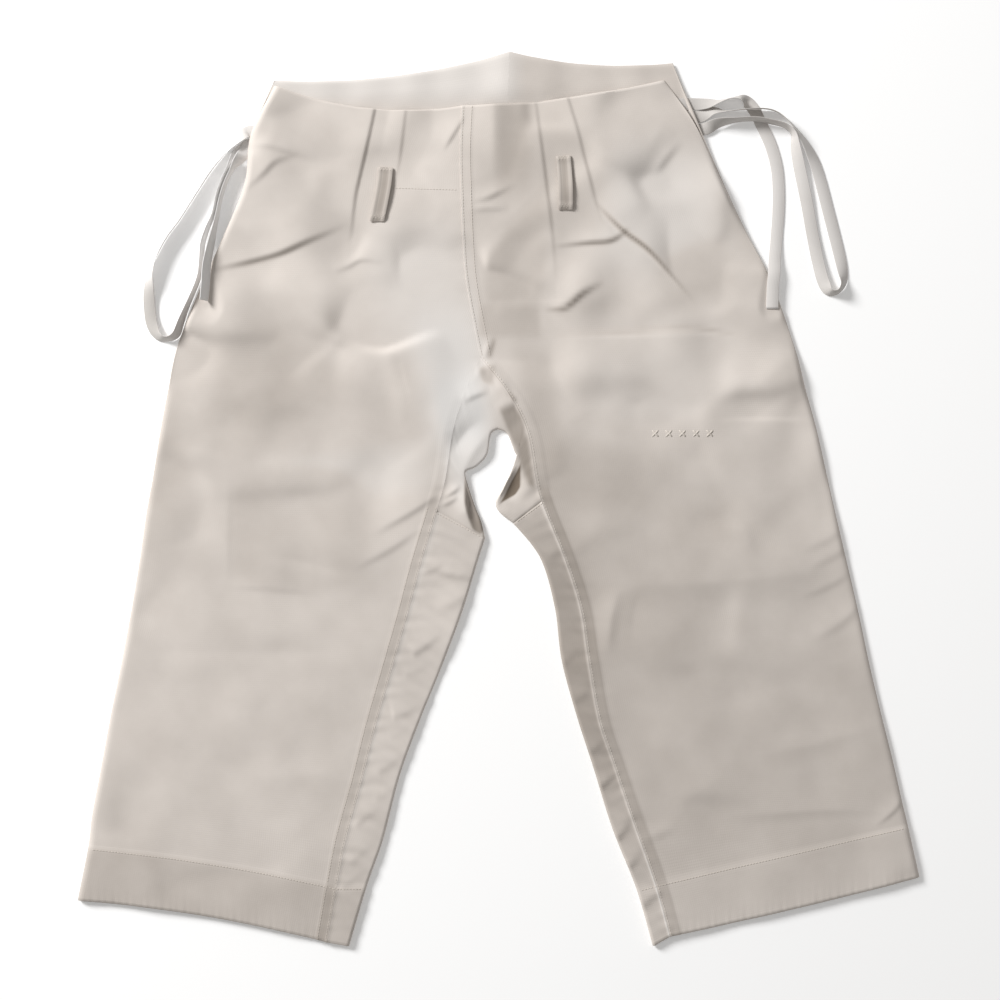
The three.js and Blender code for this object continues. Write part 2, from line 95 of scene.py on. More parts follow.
LEFT = {
    "name": "left",
    "outer": [(171, 431), (203, 385), (233, 321), (256, 274), (281, 225), (306, 154),
              (317, 111), (328, 71), (339, 22), (346, -9), (359, -65), (371, -117),
              (382, -169), (394, -220), (406, -268), (416, -312), (422, -337), (434, -390)],
    "inner": [(-37, 405), (-39, 359), (-38, 316), (-36, 266), (-32, 220), (-18, 146),
              (10, 110), (30, 71), (39, 21), (45, -3), (68, -60), (85, -113),
              (93, -166), (104, -228), (119, -273), (137, -326), (162, -397), (177, -451)],
    "sag": [-6, -2, 0, 0, 0, 0, 0, 0, 0, 0, 0, 0, 0, 0, 0, 0, 0, -2],
    "fold": [(16, -25), (44, -61), (59, -112), (66, -166), (81, -222), (99, -278),
             (118, -339), (143, -402), (160, -461)],
    "back_outer": [(180, 449), (206, 385), (234, 321), (256, 274), (281, 225)],
    "back_inner": [(12, 460), (8, 364), (3, 318), (-3, 268), (-8, 220)],
    "back_sag": [-7, 0, 0, 0, 0],
    "gusset_edge": [(0, 72), (10, 67), (17, 50), (22, 37), (12, 22), (4, 8), (-2, -4),
                    (2, -14), (16, -25)],
}
for leg in (RIGHT, LEFT):
    leg["back_outer"] = leg["back_outer"] + leg["outer"][CROTCH:]
    leg["back_inner"] = leg["back_inner"] + leg["inner"][CROTCH:]
    leg["back_sag"] = leg["back_sag"] + leg["sag"][CROTCH:]

# ---- Creases of the upper layer: a ridge (+) or trough (-) along a curve ----
# name, height, width on the curve's left, width on its right, points of the curve
CREASES = [
    ("hip_fold", 3.2, 24, 2.8, [(-308, 236), (-267, 244), (-231, 253), (-196, 267), (-150, 287)]),
    ("side_tuck_high", 1.7, 14, 2.6, [(-264, 362), (-240, 363), (-217, 358), (-185, 350)]),
    ("side_tuck_low", 1.7, 12, 2.6, [(-266, 314), (-243, 333), (-228, 347), (-202, 357)]),
    ("hip_hollow", -1.2, 18, 14, [(-236, 351), (-178, 346), (-118, 337)]),
    ("waist_crease", 1.5, 9, 1.6, [(-58, 358), (-46, 376), (-34, 396)]),
    ("casing_dimple", -0.9, 14, 12, [(-97, 320), (-84, 345), (-74, 368)]),
    ("dart_end_right", 1.7, 9, 2.2, [(-172, 235), (-155, 240), (-140, 247), (-114, 243)]),
    ("dart_swell", 0.8, 16, 16, [(-170, 213), (-135, 226), (-95, 240)]),
    ("lap_valley_right", -1.6, 12, 6, [(-108, 272), (-98, 242), (-84, 220), (-56, 200)]),
    ("thigh_valley_right", -2.2, 18, 12, [(-228, 114), (-202, 143), (-175, 170), (-145, 192)]),
    ("thigh_ridge_right", 1.3, 14, 10, [(-208, 116), (-180, 146), (-160, 168), (-140, 188)]),
    ("thigh_shade_right", -2.0, 30, 24, [(-175, 116), (-122, 91), (-85, 85), (-52, 110)]),
    ("inseam_wrinkle_high", 1.7, 14, 3, [(-134, -38), (-91, -14), (-58, 8)]),
    ("inseam_wrinkle_mid", 1.3, 13, 3, [(-152, -72), (-111, -51), (-80, -29)]),
    ("inseam_hollow", -1.6, 20, 16, [(-160, 6), (-106, 38), (-58, 76)]),
    ("press_upright_right", 0.35, 14, 3, [(-278, -100), (-279, -43), (-277, 44)]),
    ("press_low_right", 0.7, 10, 2, [(-285, -90), (-235, -92), (-180, -98)]),
    ("press_mid_right", -0.8, 10, 5, [(-248, -56), (-192, -67), (-128, -83)]),
    ("press_knee_right", -0.8, 12, 8, [(-375, -156), (-245, -158), (-120, -156)]),
    ("shin_ridge_right", 0.9, 12, 16, [(-270, -288), (-204, -286), (-140, -278)]),
    ("shin_dip_right", -0.9, 20, 16, [(-308, -280), (-266, -271), (-228, -263)]),
    ("side_dip_right", -0.8, 14, 12, [(-356, -52), (-322, -43), (-288, -25)]),
    ("thigh_dip_right", -1.0, 22, 16, [(-320, 65), (-284, 76), (-248, 96)]),
    ("casing_wrinkle", 1.7, 7, 2, [(-32, 305), (-12, 310), (-1, 315), (20, 325)]),
    ("casing_wrinkle_low", 1.2, 5, 2, [(-32, 297), (-10, 299), (12, 298)]),
    ("lap_ridge", 3.0, 16, 26, [(-26, 259), (2, 281), (25, 301), (54, 331)]),
    ("lap_hollow", -2.0, 20, 22, [(-18, 210), (14, 240), (52, 282)]),
    ("lap_small_ridge", 1.0, 6, 4, [(-15, 214), (-12, 237), (-10, 260)]),
    ("hip_diagonal", 3.4, 26, 2.2, [(96, 309), (126, 278), (158, 253), (205, 200)]),
    ("dart_fold_left", 2.6, 15, 2.2, [(53, 261), (91, 265), (118, 268), (136, 282)]),
    ("lap_curl", 2.9, 12, 2.6, [(40, 201), (66, 198), (86, 213), (110, 226)]),
    ("lap_bulge", 1.4, 14, 14, [(30, 204), (48, 227), (62, 248)]),
    ("press_top_left", -1.8, 12, 2, [(40, 170), (123, 172), (207, 175), (254, 167)]),
    ("seat_slope", 2.4, 10, 26, [(-24, 200), (12, 203), (56, 200)]),
    ("seat_fold", 1.5, 9, 1.8, [(-24, 167), (12, 166), (54, 169)]),
    ("hip_hollow_left", -0.9, 14, 12, [(166, 310), (178, 350), (188, 398)]),
    ("hip_ridge_left", 0.9, 12, 10, [(142, 328), (158, 363), (174, 398)]),
    ("hip_mark_left", 1.5, 7, 2.4, [(158, 330), (172, 350), (190, 370)]),
    ("pocket_shade_left", -2.4, 22, 30, [(184, 256), (212, 226), (234, 190)]),
    ("side_ridge_left", 1.4, 16, 20, [(190, 264), (234, 244), (268, 216)]),
    ("thigh_diagonal_left", -2.2, 16, 14, [(38, 166), (60, 124), (82, 82)]),
    ("thigh_broad_left", -0.8, 34, 30, [(74, 124), (167, 108), (276, 92)]),
    ("thigh_fold_left", -2.6, 28, 24, [(56, 48), (126, 19), (183, 2), (272, 16)]),
    ("thigh_fold_branch", -1.6, 20, 18, [(186, -50), (214, -22), (254, 5)]),
    ("side_swell_left", 1.6, 14, 14, [(254, 104), (285, 132), (312, 154)]),
    ("side_dip_left", -1.4, 16, 14, [(244, 69), (275, 93), (304, 115)]),
    ("press_side_left", 0.8, 2, 14, [(220, 79), (275, 80), (327, 79)]),
    ("press_knee_left", 3.2, 34, 16, [(98, -105), (146, -88), (202, -86), (258, -81), (332, -72),
                                      (372, -64)]),
    ("edge_tuck_1", 0.9, 10, 3, [(308, -54), (338, -42), (357, -27)]),
    ("edge_tuck_2", 0.9, 10, 3, [(316, -72), (346, -58), (365, -45)]),
    ("edge_tuck_3", 1.0, 11, 3, [(306, -103), (344, -87), (363, -74)]),
    ("edge_tuck_4", 1.2, 12, 4, [(320, -146), (354, -126), (374, -105)]),
    ("knee_ridge_left", 1.5, 9, 5, [(113, -164), (116, -125), (125, -90)]),
    ("knee_dip_left", -0.9, 8, 10, [(138, -152), (140, -120), (148, -92)]),
    ("shin_fold_left", 1.2, 14, 5, [(218, -328), (290, -323), (350, -320), (408, -323)]),
    ("hem_tuck_high", 1.1, 7, 2.4, [(386, -338), (407, -320), (419, -302)]),
    ("shin_line_left", 0.8, 12, 8, [(250, -268), (332, -251), (408, -227)]),
    ("calf_dip_left", -0.8, 14, 14, [(195, -212), (270, -197), (378, -171)]),
    ("seam_wrinkle_left", 0.9, 7, 3, [(136, -358), (161, -347), (186, -336)]),
    ("fork_tuft", 2.6, 5, 2.4, [(-14, 142), (-10, 157), (-6, 172)]),
    ("fork_ridge", 2.0, 4, 3, [(-18, 150), (-3, 129), (14, 107)]),
    ("fork_hollow", -1.6, 9, 9, [(-20, 131), (-9, 124), (3, 114)]),
    ("lobe_edge", 1.5, 9, 2.2, [(-38, 99), (-25, 106), (-8, 112)]),
    ("lobe_right", 1.2, 8, 5, [(-2, 90), (9, 97), (18, 95)]),
    ("gusset_arc", -1.9, 6, 8, [(-46, 44), (-41, 57), (-31, 70), (-13, 83)]),
    ("gusset_roll", 2.0, 10, 7, [(-38, -4), (-37, 22), (-28, 44), (-15, 62), (-6, 78)]),
    ("gusset_patch", -1.5, 10, 12, [(3, 56), (14, 73), (30, 86)]),
    ("gusset_ridge", 1.2, 10, 8, [(26, -3), (34, 19), (33, 46)]),
    ("pocket_hollow", -4.0, 5, 6, [(8, -4), (15, 12), (22, 33)]),
    ("pocket_roll", 2.2, 2.2, 2.2, [(-1, -10), (2, 6), (10, 20), (21, 38)]),
    ("gusset_lip", 3.4, 9, 1.4, [(-22, -40), (-30, -20), (-33, -8), (-34, 5), (-36, 22)]),
    ("gusset_shelf", -2.5, 3, 7, [(-16, -37), (-24, -18), (-28, -4), (-31, 12)]),
    ("corner_wrinkle_high", 1.5, 4, 2, [(-58, 0), (-47, 7), (-38, 14)]),
    ("corner_wrinkle_low", 1.4, 4, 2, [(-61, -8), (-50, -3), (-41, 3)]),
    ("gusset_flap", 1.2, 8, 7, [(-1, -9), (14, -14), (28, -19)]),
    ("strip_fold_right", 1.9, 10, 3, [(-68, -73), (-44, -78), (-20, -83)]),
    ("strip_pinch_right", 1.2, 6, 2, [(-84, -76), (-70, -74), (-56, -67)]),
    ("strip_swell_right", 1.3, 12, 5, [(-66, -113), (-44, -105), (-26, -91)]),
    ("strip_swell_left", 0.9, 8, 5, [(46, -66), (57, -56), (66, -47)]),
]
# The same for the puckers that the inner seams draw into the strip beside them.
PUCKERS = [
    ("right_1", 1.4, 9, 3.0, [(-90, -160), (-75, -151), (-56, -136)]),
    ("right_2", 0.4, 7, 3.0, [(-98, -182), (-82, -175), (-64, -164)]),
    ("right_3", 1.0, 12, 3.4, [(-110, -224), (-96, -220), (-72, -207)]),
    ("right_4", 0.3, 8, 3.4, [(-114, -246), (-101, -239), (-84, -226)]),
    ("right_5", 0.9, 12, 3.6, [(-126, -282), (-111, -272), (-92, -258)]),
    ("right_6", 0.4, 8, 3.0, [(-128, -309), (-115, -302), (-100, -289)]),
    ("right_7", 1.0, 9, 2.8, [(-148, -336), (-138, -328), (-118, -315)]),
    ("right_8", 0.6, 12, 3.6, [(-156, -377), (-142, -364), (-122, -346)]),
    ("right_9", 0.4, 7, 3.0, [(-163, -401), (-150, -391), (-130, -377)]),
    ("left_1", 0.8, 7, 2.8, [(62, -172), (72, -164), (84, -155)]),
    ("left_2", 0.9, 9, 2.8, [(75, -211), (88, -201), (103, -190)]),
    ("left_3", 0.8, 8, 2.8, [(93, -262), (103, -253), (117, -243)]),
    ("left_4", 2.0, 10, 2.4, [(99, -302), (112, -290), (130, -276)]),
    ("left_5", 2.0, 10, 2.2, [(115, -358), (129, -341), (146, -322)]),
    ("left_6", 2.0, 9, 2.2, [(127, -386), (139, -373), (156, -361)]),
    ("left_7", 1.6, 9, 2.4, [(142, -424), (157, -411), (172, -400)]),
]
# The same for folds that start at the waist edge: they fade at their first point alone.
WAIST_FOLDS = [
    ("pleat_right_outer", 1.7, 17, 1.4, [(-158, 240), (-152, 274), (-148, 311), (-142, 339),
                                         (-135, 369), (-129, 398), (-125, 420)]),
    ("pleat_right_inner", 0.8, 12, 1.5, [(-107, 322), (-103, 346), (-100, 369), (-97, 394),
                                         (-94, 416)]),
    ("waist_dip_outer", -1.6, 12, 9, [(-121, 350), (-117, 380), (-111, 404), (-106, 425)]),
    ("waist_dip_inner", -1.5, 10, 9, [(-72, 360), (-68, 385), (-66, 406), (-63, 425)]),
    ("front_ridge", 3.6, 12, 17, [(-2, 318), (-3, 369), (-3, 406), (-3, 422)]),
    ("pleat_left_inner", 1.1, 16, 1.5, [(59, 215), (56, 260), (50, 313), (43, 367), (38, 406),
                                        (33, 425)]),
    ("pleat_left_outer", 1.3, 16, 1.5, [(109, 278), (100, 303), (91, 338), (82, 373), (73, 404),
                                        (66, 428)]),
]
# ---- Lines that lie in deep shade, where the cloth folds under itself: depth, width, points ----
SHADE_LINES = [
    ("hip_diagonal", 1.6, 1.7, [(96, 309), (126, 278), (158, 253), (205, 200)]),
    ("dart_fold", 1.0, 1.7, [(53, 259), (91, 263), (118, 266), (136, 280)]),
    ("lap_curl", 1.0, 2.2, [(40, 198), (66, 195), (87, 210), (110, 223)]),
    ("press_top", 0.7, 1.7, [(40, 170), (123, 172), (207, 175), (254, 167)]),
    ("hip_fold", 0.8, 2.4, [(-300, 234), (-267, 241), (-231, 250), (-196, 264), (-156, 282)]),
    ("pleat_right_outer", 0.34, 1.3, [(-156, 250), (-150, 290), (-141, 339), (-134, 369), (-124, 420)]),
    ("pleat_right_inner", 0.3, 1.3, [(-106, 322), (-102, 346), (-99, 369), (-93, 416)]),
    ("pleat_left_inner", 0.36, 1.3, [(60, 215), (57, 260), (51, 313), (44, 367), (34, 425)]),
    ("pleat_left_outer", 0.36, 1.3, [(110, 278), (101, 303), (92, 338), (83, 373), (67, 428)]),
    ("tuft", 0.9, 2.2, [(-9, 142), (-6, 156), (-3, 168)]),
    ("fork_end", 1.0, 1.8, [(9, 112), (15, 104), (18, 98)]),
]
# ---- Creases of the backs, which rise from the surface: height, width, points ----
BACK_CREASES = [
    (1.0, 14, [(-300, 180), (-230, 205), (-150, 240)]),
    (0.9, 12, [(-320, 60), (-240, 84), (-170, 76)]),
    (1.0, 13, [(-150, 20), (-205, -20), (-290, -35)]),
    (0.9, 11, [(-350, -120), (-270, -104), (-180, -120)]),
    (0.8, 13, [(-330, -220), (-250, -240), (-175, -226)]),
    (0.9, 12, [(-380, -330), (-300, -312), (-215, -340)]),
    (1.0, 14, [(250, 200), (180, 225), (90, 235)]),
    (0.9, 12, [(290, 70), (215, 95), (120, 80)]),
    (1.0, 12, [(120, -10), (190, -30), (280, -22)]),
    (0.9, 13, [(350, -130), (280, -110), (190, -128)]),
    (0.8, 12, [(360, -240), (290, -222), (210, -246)]),
    (0.9, 12, [(400, -320), (320, -336), (240, -318)]),
    (0.9, 10, [(-60, 300), (-20, 270), (30, 290)]),
    (0.8, 10, [(-70, 190), (-20, 205), (40, 186)]),
]

# ---- Pressed or shaded stretches of the cloth, painted into its colour ----
# name, middle, half sizes, turn in degrees, softness as a share of the size, depth: painted
# shade where positive, painted light where negative
TONES = [
    ("right_knee_press", -205, -32, 72, 64, -2, 0.14, 0.22),
    ("right_thigh", -240, 120, 66, 54, 20, 0.7, 0.42),
    ("left_thigh_press", 142, 110, 92, 58, -1, 0.3, 0.10),
    ("left_pocket", 205, 232, 30, 26, 20, 0.6, 0.30),
    ("left_side_knee", 215, -22, 34, 18, 0, 0.6, 0.12),
    ("left_thigh_pale", 150, 118, 80, 50, 0, 0.6, -0.18),
    ("left_inner_thigh", 96, 24, 78, 30, -6, 0.6, 0.42),
    ("left_knee_wide", 195, -50, 165, 46, 0, 0.6, 0.20),
    ("left_knee_inner", 130, -128, 80, 34, 0, 0.6, 0.20),
    ("left_hip", 165, 300, 60, 60, 0, 0.6, -0.26),
    ("right_leg", -240, -150, 170, 260, 0, 0.5, 0.08),
    ("right_above_knee", -150, 24, 80, 26, 8, 0.6, -0.24),
    ("right_side", -350, 50, 26, 70, 5, 0.7, 0.24),
    ("left_waist", 16, 365, 18, 48, 0, 0.5, 0.35),
    ("left_waist_wide", 45, 350, 60, 70, 0, 0.6, 0.25),
    ("left_shin", 262, -262, 140, 130, 0, 0.7, 0.28),
    ("right_centre", -76, 215, 46, 60, 10, 0.6, -0.20),
    ("right_fork", -45, 120, 30, 60, 8, 0.7, -0.52),
    ("left_fork_side", 44, 100, 16, 66, 12, 0.6, 0.30),
    ("fork_bright", -32, 60, 24, 62, 10, 0.5, -0.45),
]
TONE_POWER = 3.5  # between an oval (2) and a box (many)

# Flats of cloth that face away from the light: softness of the edges, depth, corners in
# clockwise order.
SHADE_FLATS = [
    ("left_seat", 5, 0.36, [(-18, 199), (43, 199), (43, 167), (-20, 167)]),
    ("left_lap", 9, 0.34, [(-1, 266), (48, 318), (52, 244), (43, 199), (-16, 199), (-14, 237)]),
    ("fork_patch", 3, 0.55, [(-19, 134), (-3, 137), (-6, 118), (-16, 120)]),
    ("gusset_patch", 4, 1.0, [(1, 91), (16, 97), (26, 83), (29, 62), (16, 54), (8, 73)]),
    ("gusset_side", 4, 0.95, [(14.4, 53), (31, 63.2), (38, 12), (27, 12), (22, 36)]),
    ("gusset_pocket", 1.3, 1.9, [(23, 35), (23, 12), (18, 4), (2, -5)]),
    ("gusset_under", 1.5, 1.2, [(-34, 26), (-26, 4), (-18, -18), (-14, -31), (-18, -37),
                                (-26, -32), (-32, -17), (-35, -1)]),
]

# ---- Tie tapes: x, y, bank in degrees (0 flat, 90 on edge), height of the underside ----
TAPES = {
    "tie_loop_right": [
        (-244, 378.6, 0, 1.6), (-257, 378.4, 0, 1.6), (-264.7, 372.3, 35, 1), (-279.1, 356.9, 72, 0.3),
        (-294.6, 338.4, 80, 0.2), (-310.5, 314.2, 80, 0.2), (-327.5, 287.4, 80, 0.2),
        (-340.9, 269.3, 80, 0.2), (-350.7, 251.3, 78, 0.2), (-357.4, 233.3, 60, 0.2),
        (-360, 214.8, 25, 0.2), (-359.5, 196.2, 10, 0.2), (-356.9, 179.7, 15, 0.2),
        (-350.2, 167.9, 45, 0.2), (-340.9, 164.3, 72, 0.2), (-331.7, 168.9, 60, 0.2),
        (-326.5, 181.8, 66, 0.2), (-320.8, 196.2, 76, 0.2), (-313.1, 213.7, 80, 0.2),
        (-307.5, 229.2, 80, 0.2), (-305.4, 245.7, 78, 0.2), (-303.9, 262.1, 76, 0.2),
        (-299.2, 277.6, 80, 0.2), (-293, 292.5, 84, 0.2), (-288.9, 311.6, 84, 0.2),
        (-283.8, 327, 84, 0.2), (-277.1, 340.9, 80, 0.2), (-269, 354.4, 36, 0.8),
        (-263.1, 359.8, 8, 1.2), (-257.5, 364.7, 0, 1.4), (-244, 365.4, 0, 1.4),
    ],
    "tie_end_right": [
        (-244, 364.4, 0, 2.6), (-257.1, 362.4, -3, 2.6), (-261.4, 356.2, -12, 2.8),
        (-266, 349.6, -42, 2.9), (-273.6, 338.9, -80, 0.4), (-280, 325.6, -84, 0.2),
        (-285.1, 310.3, -84, 0.2), (-289, 291.3, -82, 0.2), (-292, 277.6, -76, 0.2),
        (-294.6, 265.2, -66, 1.2), (-297.2, 250.8, -60, 4.8), (-299.2, 237.4, -55, 6.1),
        (-300.2, 220.9, -55, 6.3), (-301.8, 203.4, -58, 6.3),
    ],
    "tie_loop_left": [
        (184, 393.8, 0, 1.6), (207, 393.8, 0, 1.6), (220.4, 399.1, -35, 1.5), (233.8, 398.6, -72, 1.4),
        (251.3, 400.2, -80, 1.7), (269.9, 401.2, -80, 1.7), (284.3, 399.1, -78, 0.8),
        (296.6, 391.4, -74, 0.2), (308, 378.5, -62, 0.2), (318.3, 363.1, -40, 0.2),
        (326.5, 346.6, -18, 0.2), (333.2, 326, -8, 0.2), (340.4, 298.2, -5, 0.2),
        (347.6, 270.4, -5, 0.2), (352.8, 248.7, -10, 0.2), (355.4, 233.3, -25, 0.2),
        (355.4, 220.9, -55, 0.2), (349.7, 212.7, -72, 0.2), (341.4, 212.7, -60, 0.2),
        (335.8, 223, -25, 0.2), (330.6, 242.6, -12, 0.2), (324.4, 273.5, -6, 0.2),
        (318.3, 307.5, -10, 0.2), (311.1, 340.4, -22, 0.2), (306.4, 363.1, -50, 0.2),
        (304.4, 375.4, -74, 0.2), (296.6, 383.2, -80, 0.4), (282.2, 387.3, -80, 1.4),
        (264.7, 390.4, -80, 1.4), (244.1, 389.3, -78, 1.4), (225.6, 386.2, -45, 1.4),
        (213, 381, -4, 1.6), (197, 380.9, 0, 1.6),
    ],
    "tie_end_left": [
        (176, 406.8, 0, 1.6), (201, 406.8, 0, 1.6), (215.3, 406.9, -25, 1.2), (227.6, 408.9, -66, 0.3),
        (239, 412, -76, 0.2), (249.3, 412.5, -58, 0.2), (257, 409.4, -6, 0.1), (262.1, 404.3, 0, 0.1),
        (266.8, 397.1, 0, 0.1), (270.9, 388.3, 0, 0.1), (277.1, 375.4, 0, 0.1), (283.2, 360, 0, 0.2),
        (287.9, 340.4, 0, 0.2), (289.6, 317.8, 0, 0.2), (289.2, 293, 0, 0.2), (287.4, 268.3, 0, 0.3),
        (285.3, 247.7, 0, 2.6), (284.1, 232.3, 2, 5.6), (282.8, 214.8, 0, 5.9), (282.2, 195.2, 0, 5.9),
    ],
}
TAPE_STEP = 3
TAPE_TONES = {  # distance along the tape, and how much deeper it looks there in painted shade; negative is painted light
    "tie_loop_right": [(0, 0.4), (40, -0.3), (185, -0.4), (212, 1.1), (255, 1.4), (280, 0.1),
                       (320, -0.4)],
    "tie_end_right": [(0, -0.2), (60, -0.9)],
    "tie_loop_left": [(0, 1.0), (110, 0.7), (150, 0.05), (290, 0.05), (312, 1.1), (345, 0.4),
                      (480, 0.5), (520, 0.8), (600, 1.0)],
    "tie_end_left": [(0, 1.0), (75, 0.7), (110, 0.3), (200, 0.0), (305, 0.1)],
}


def smooth(low, high, x):
    """0 below low, 1 above high, and 3t² − 2t³ between them."""
    t = np.clip((x - low) / (high - low), 0, 1)
    return t * t * (3 - 2 * t)


def bell(x, width):
    """exp(−(x / width)²)."""
    return np.exp(-((x / width) ** 2))


def spline(points, at, kink=0):
    """Curve through the points at the row numbers given, cubic between each two and with its
    slope there from their neighbours. It may turn sharply at one row, the kink."""
    points = np.asarray(points, float)
    at = np.asarray(at, float)
    last = len(points) - 1
    i = np.clip(np.floor(at).astype(int), 0, last - 1)
    low = np.where(i < kink, 0, kink)
    high = np.where(i < kink, kink, last)
    p, q, r, s = (points[np.clip(i + k, low, high)] for k in (-1, 0, 1, 2))
    f = (at - i)[..., None]
    cubic = 2 * q + (r - p) * f + (2 * p - 5 * q + 4 * r - s) * f**2
    return 0.5 * (cubic + (3 * q - p - 3 * r + s) * f**3)


def leg_line(leg, key, row):
    """Places on one of a leg's lines. The inner lines turn sharply at the crotch."""
    if key == "gusset_edge":  # two entries for each row
        return spline(leg[key], 2 * (row - CROTCH))
    first = CORNER if key == "fold" else 0
    return spline(leg[key], row - first, CROTCH if "inner" in key else 0)


def length_of(vectors):
    """Root of the sum of the squares of each vector's parts."""
    return np.linalg.norm(vectors, axis=-1)


def unit(vectors):
    """Each vector divided by its length."""
    return vectors / length_of(vectors)[..., None]


# ---- Lie of the cloth ----
CURVE_STEPS = 6
FOOT = 2.3  # a crease ends this many widths from its crest
CREST = 0.3  # roundness of the crest, as a share of the width


def crease(x, y, height, left, right, points, fade_in=0.42, fade_out=0.42):
    """height · (1 − d / (FOOT · w))², where d is the distance from the curve, eased at the
    crest, and w its width on that side, faded in and out over shares of the curve's length."""
    count = (len(points) - 1) * CURVE_STEPS
    curve = spline(points, np.linspace(0, len(points) - 1, count + 1))
    reach = (FOOT + CREST) * max(left, right)
    low, high = curve.min(0) - reach, curve.max(0) + reach
    near = (x > low[0]) & (x < high[0]) & (y > low[1]) & (y < high[1])
    here = np.stack([x[near], y[near]], -1)
    best = np.full(len(here), np.inf)
    along = np.zeros(len(here))
    width = np.full(len(here), float(left))
    for k in range(count):
        step = curve[k + 1] - curve[k]
        share = np.clip((here - curve[k]) @ step / (step @ step), 0, 1)
        away = here - curve[k] - share[:, None] * step
        distance = length_of(away)
        closer = distance < best
        side = step[0] * away[:, 1] - step[1] * away[:, 0]
        best = np.where(closer, distance, best)
        along = np.where(closer, (k + share) / count, along)
        width = np.where(closer, np.where(side > 0, left, right), width)
    fade = 1.0
    if fade_in:
        fade = fade * smooth(0, fade_in, along)
    if fade_out:
        fade = fade * smooth(0, fade_out, 1 - along)
    out = np.zeros(x.shape)
    eased = np.sqrt((best / width) ** 2 + CREST**2) - CREST
    out[near] = height * fade * np.clip(1 - eased / FOOT, 0, 1) ** 2
    return out


WAVE_COUNT = 16
WAVE_SLOPE = 0.0022  # height of a wave for each unit of its length
WAVE_SHARE_LEGS, WAVE_SHARE_WAIST = 0.75, 1.5  # of that height
WAVE_SEED = 11
wave_draw = np.random.default_rng(WAVE_SEED)
WAVES = np.stack([
    wave_draw.uniform(0, math.pi, WAVE_COUNT),  # heading
    wave_draw.uniform(30, 140, WAVE_COUNT),  # length
    wave_draw.uniform(0, 2 * math.pi, WAVE_COUNT),  # phase
], axis=1)


def ripple(x, y):
    """Slow unevenness of cloth that was never pressed: a sum of plane waves."""
    total = np.zeros(np.shape(x))
    for heading, length, phase in WAVES:
        place = x * math.cos(heading) + y * math.sin(heading)
        total += WAVE_SLOPE * length * np.sin(2 * math.pi * place / length + phase)
    return total * (WAVE_SHARE_LEGS + (WAVE_SHARE_WAIST - WAVE_SHARE_LEGS) * smooth(-120, 120, y))


FACET_SETS = [  # number, slope, blend (the smaller, the sharper the folds), share on the legs
    (170, 0.034, 30, 0.5),
    (520, 0.022, 20, 0.0),
]
WAIST_SHARE = 1.7  # the cloth is most crumpled from the fork up
FACET_SQUEEZE = 0.8  # facets are wider than they are tall
FACET_REACH_X, FACET_REACH_Y = 470, 480  # their middles lie within these of the origin
FACET_SEED = 5
facet_draw = np.random.default_rng(FACET_SEED)
FACETS = [
    np.stack([
        facet_draw.uniform(-FACET_REACH_X, FACET_REACH_X, count),
        facet_draw.uniform(-FACET_REACH_Y, FACET_REACH_Y, count),
        facet_draw.normal(0, slope, count),
        facet_draw.normal(0, slope, count),
    ], axis=1)
    for count, slope, blend, share in FACET_SETS
]


def crumple(x, y):
    """Slightly tilted flats as on stiff cloth: each has a middle and a slope, and a point
    takes the mean of all of them, weighted by exp(−(distance / blend)²)."""
    height = np.zeros(np.shape(x))
    waist = smooth(-60, 160, y)
    for facets, (count, slope, blend, share) in zip(FACETS, FACET_SETS):
        total = np.zeros(np.shape(x))
        weights = np.full(np.shape(x), 1e-30)
        for mx, my, slope_x, slope_y in facets:
            across, up = x - mx, y - my
            weight = np.exp(-((across * FACET_SQUEEZE) ** 2 + up**2) / blend**2)
            total += weight * (slope_x * across + slope_y * up)
            weights += weight
        height += total / weights * (share + (WAIST_SHARE - share) * waist)
    return height


UNEVEN_SINES = [(17.0, 1.3, 0.45), (11.3, 0.4, 0.3), (28.7, 2.1, 0.25)]  # length, phase, share


def uneven(along):
    """Irregular puckers along a seam: three sines of unlike lengths, from −1 to 1."""
    total = 0
    for length, phase, share in UNEVEN_SINES:
        total = total + share * np.sin(2 * math.pi * along / length + phase)
    return total


# Stretches of tape that lie on the cloth: their two ends, and the highest the cloth may be there
TAPE_RESTS = [
    ((284, 232), (282, 195), 5.7),
    ((-299, 237), (-302, 203), 6.1),
]
REST_REACH = 7
REST_SLOPE = 0.25


def under_tapes(x, y):
    """Highest place of the cloth: level under a tape's end, and beside it rising in proportion
    to the distance beyond REST_REACH."""
    highest = np.full(np.shape(x), np.inf)
    for (ax, ay), (bx, by), level in TAPE_RESTS:
        share = ((x - ax) * (bx - ax) + (y - ay) * (by - ay)) / ((bx - ax) ** 2 + (by - ay) ** 2)
        share = np.clip(share, 0, 1)
        away = np.hypot(x - ax - share * (bx - ax), y - ay - share * (by - ay))
        highest = np.minimum(highest, level + REST_SLOPE * np.maximum(away - REST_REACH, 0))
    return highest


FLOOR_EASE = 0.5  # the larger, the rounder the bend where a trough meets its floor


def soft_floor(height):
    """Half of the height and the root of (height² + FLOOR_EASE): never below 0, and the height
    itself a little way above it."""
    return 0.5 * (height + np.sqrt(height**2 + FLOOR_EASE))


def upper_face(x, y):
    """Upper side of the upper layer: its smooth level, the slow waves, the crumples and all
    creases, pressed down where a tape lies on it."""
    relief = 0
    for name, height, left, right, points in CREASES:
        relief = relief + crease(x, y, height, left, right, points)
    for name, height, left, right, points in PUCKERS:
        relief = relief + crease(x, y, height, left, right, points, fade_in=0.2, fade_out=0.6)
    for name, height, left, right, points in WAIST_FOLDS:
        relief = relief + crease(x, y, height, left, right, points, fade_in=0.45, fade_out=0)
    z = np.minimum(UPPER_FACE + ripple(x, y) + crumple(x, y) + relief, under_tapes(x, y))
    return LOWEST_UPPER + soft_floor(z - LOWEST_UPPER)


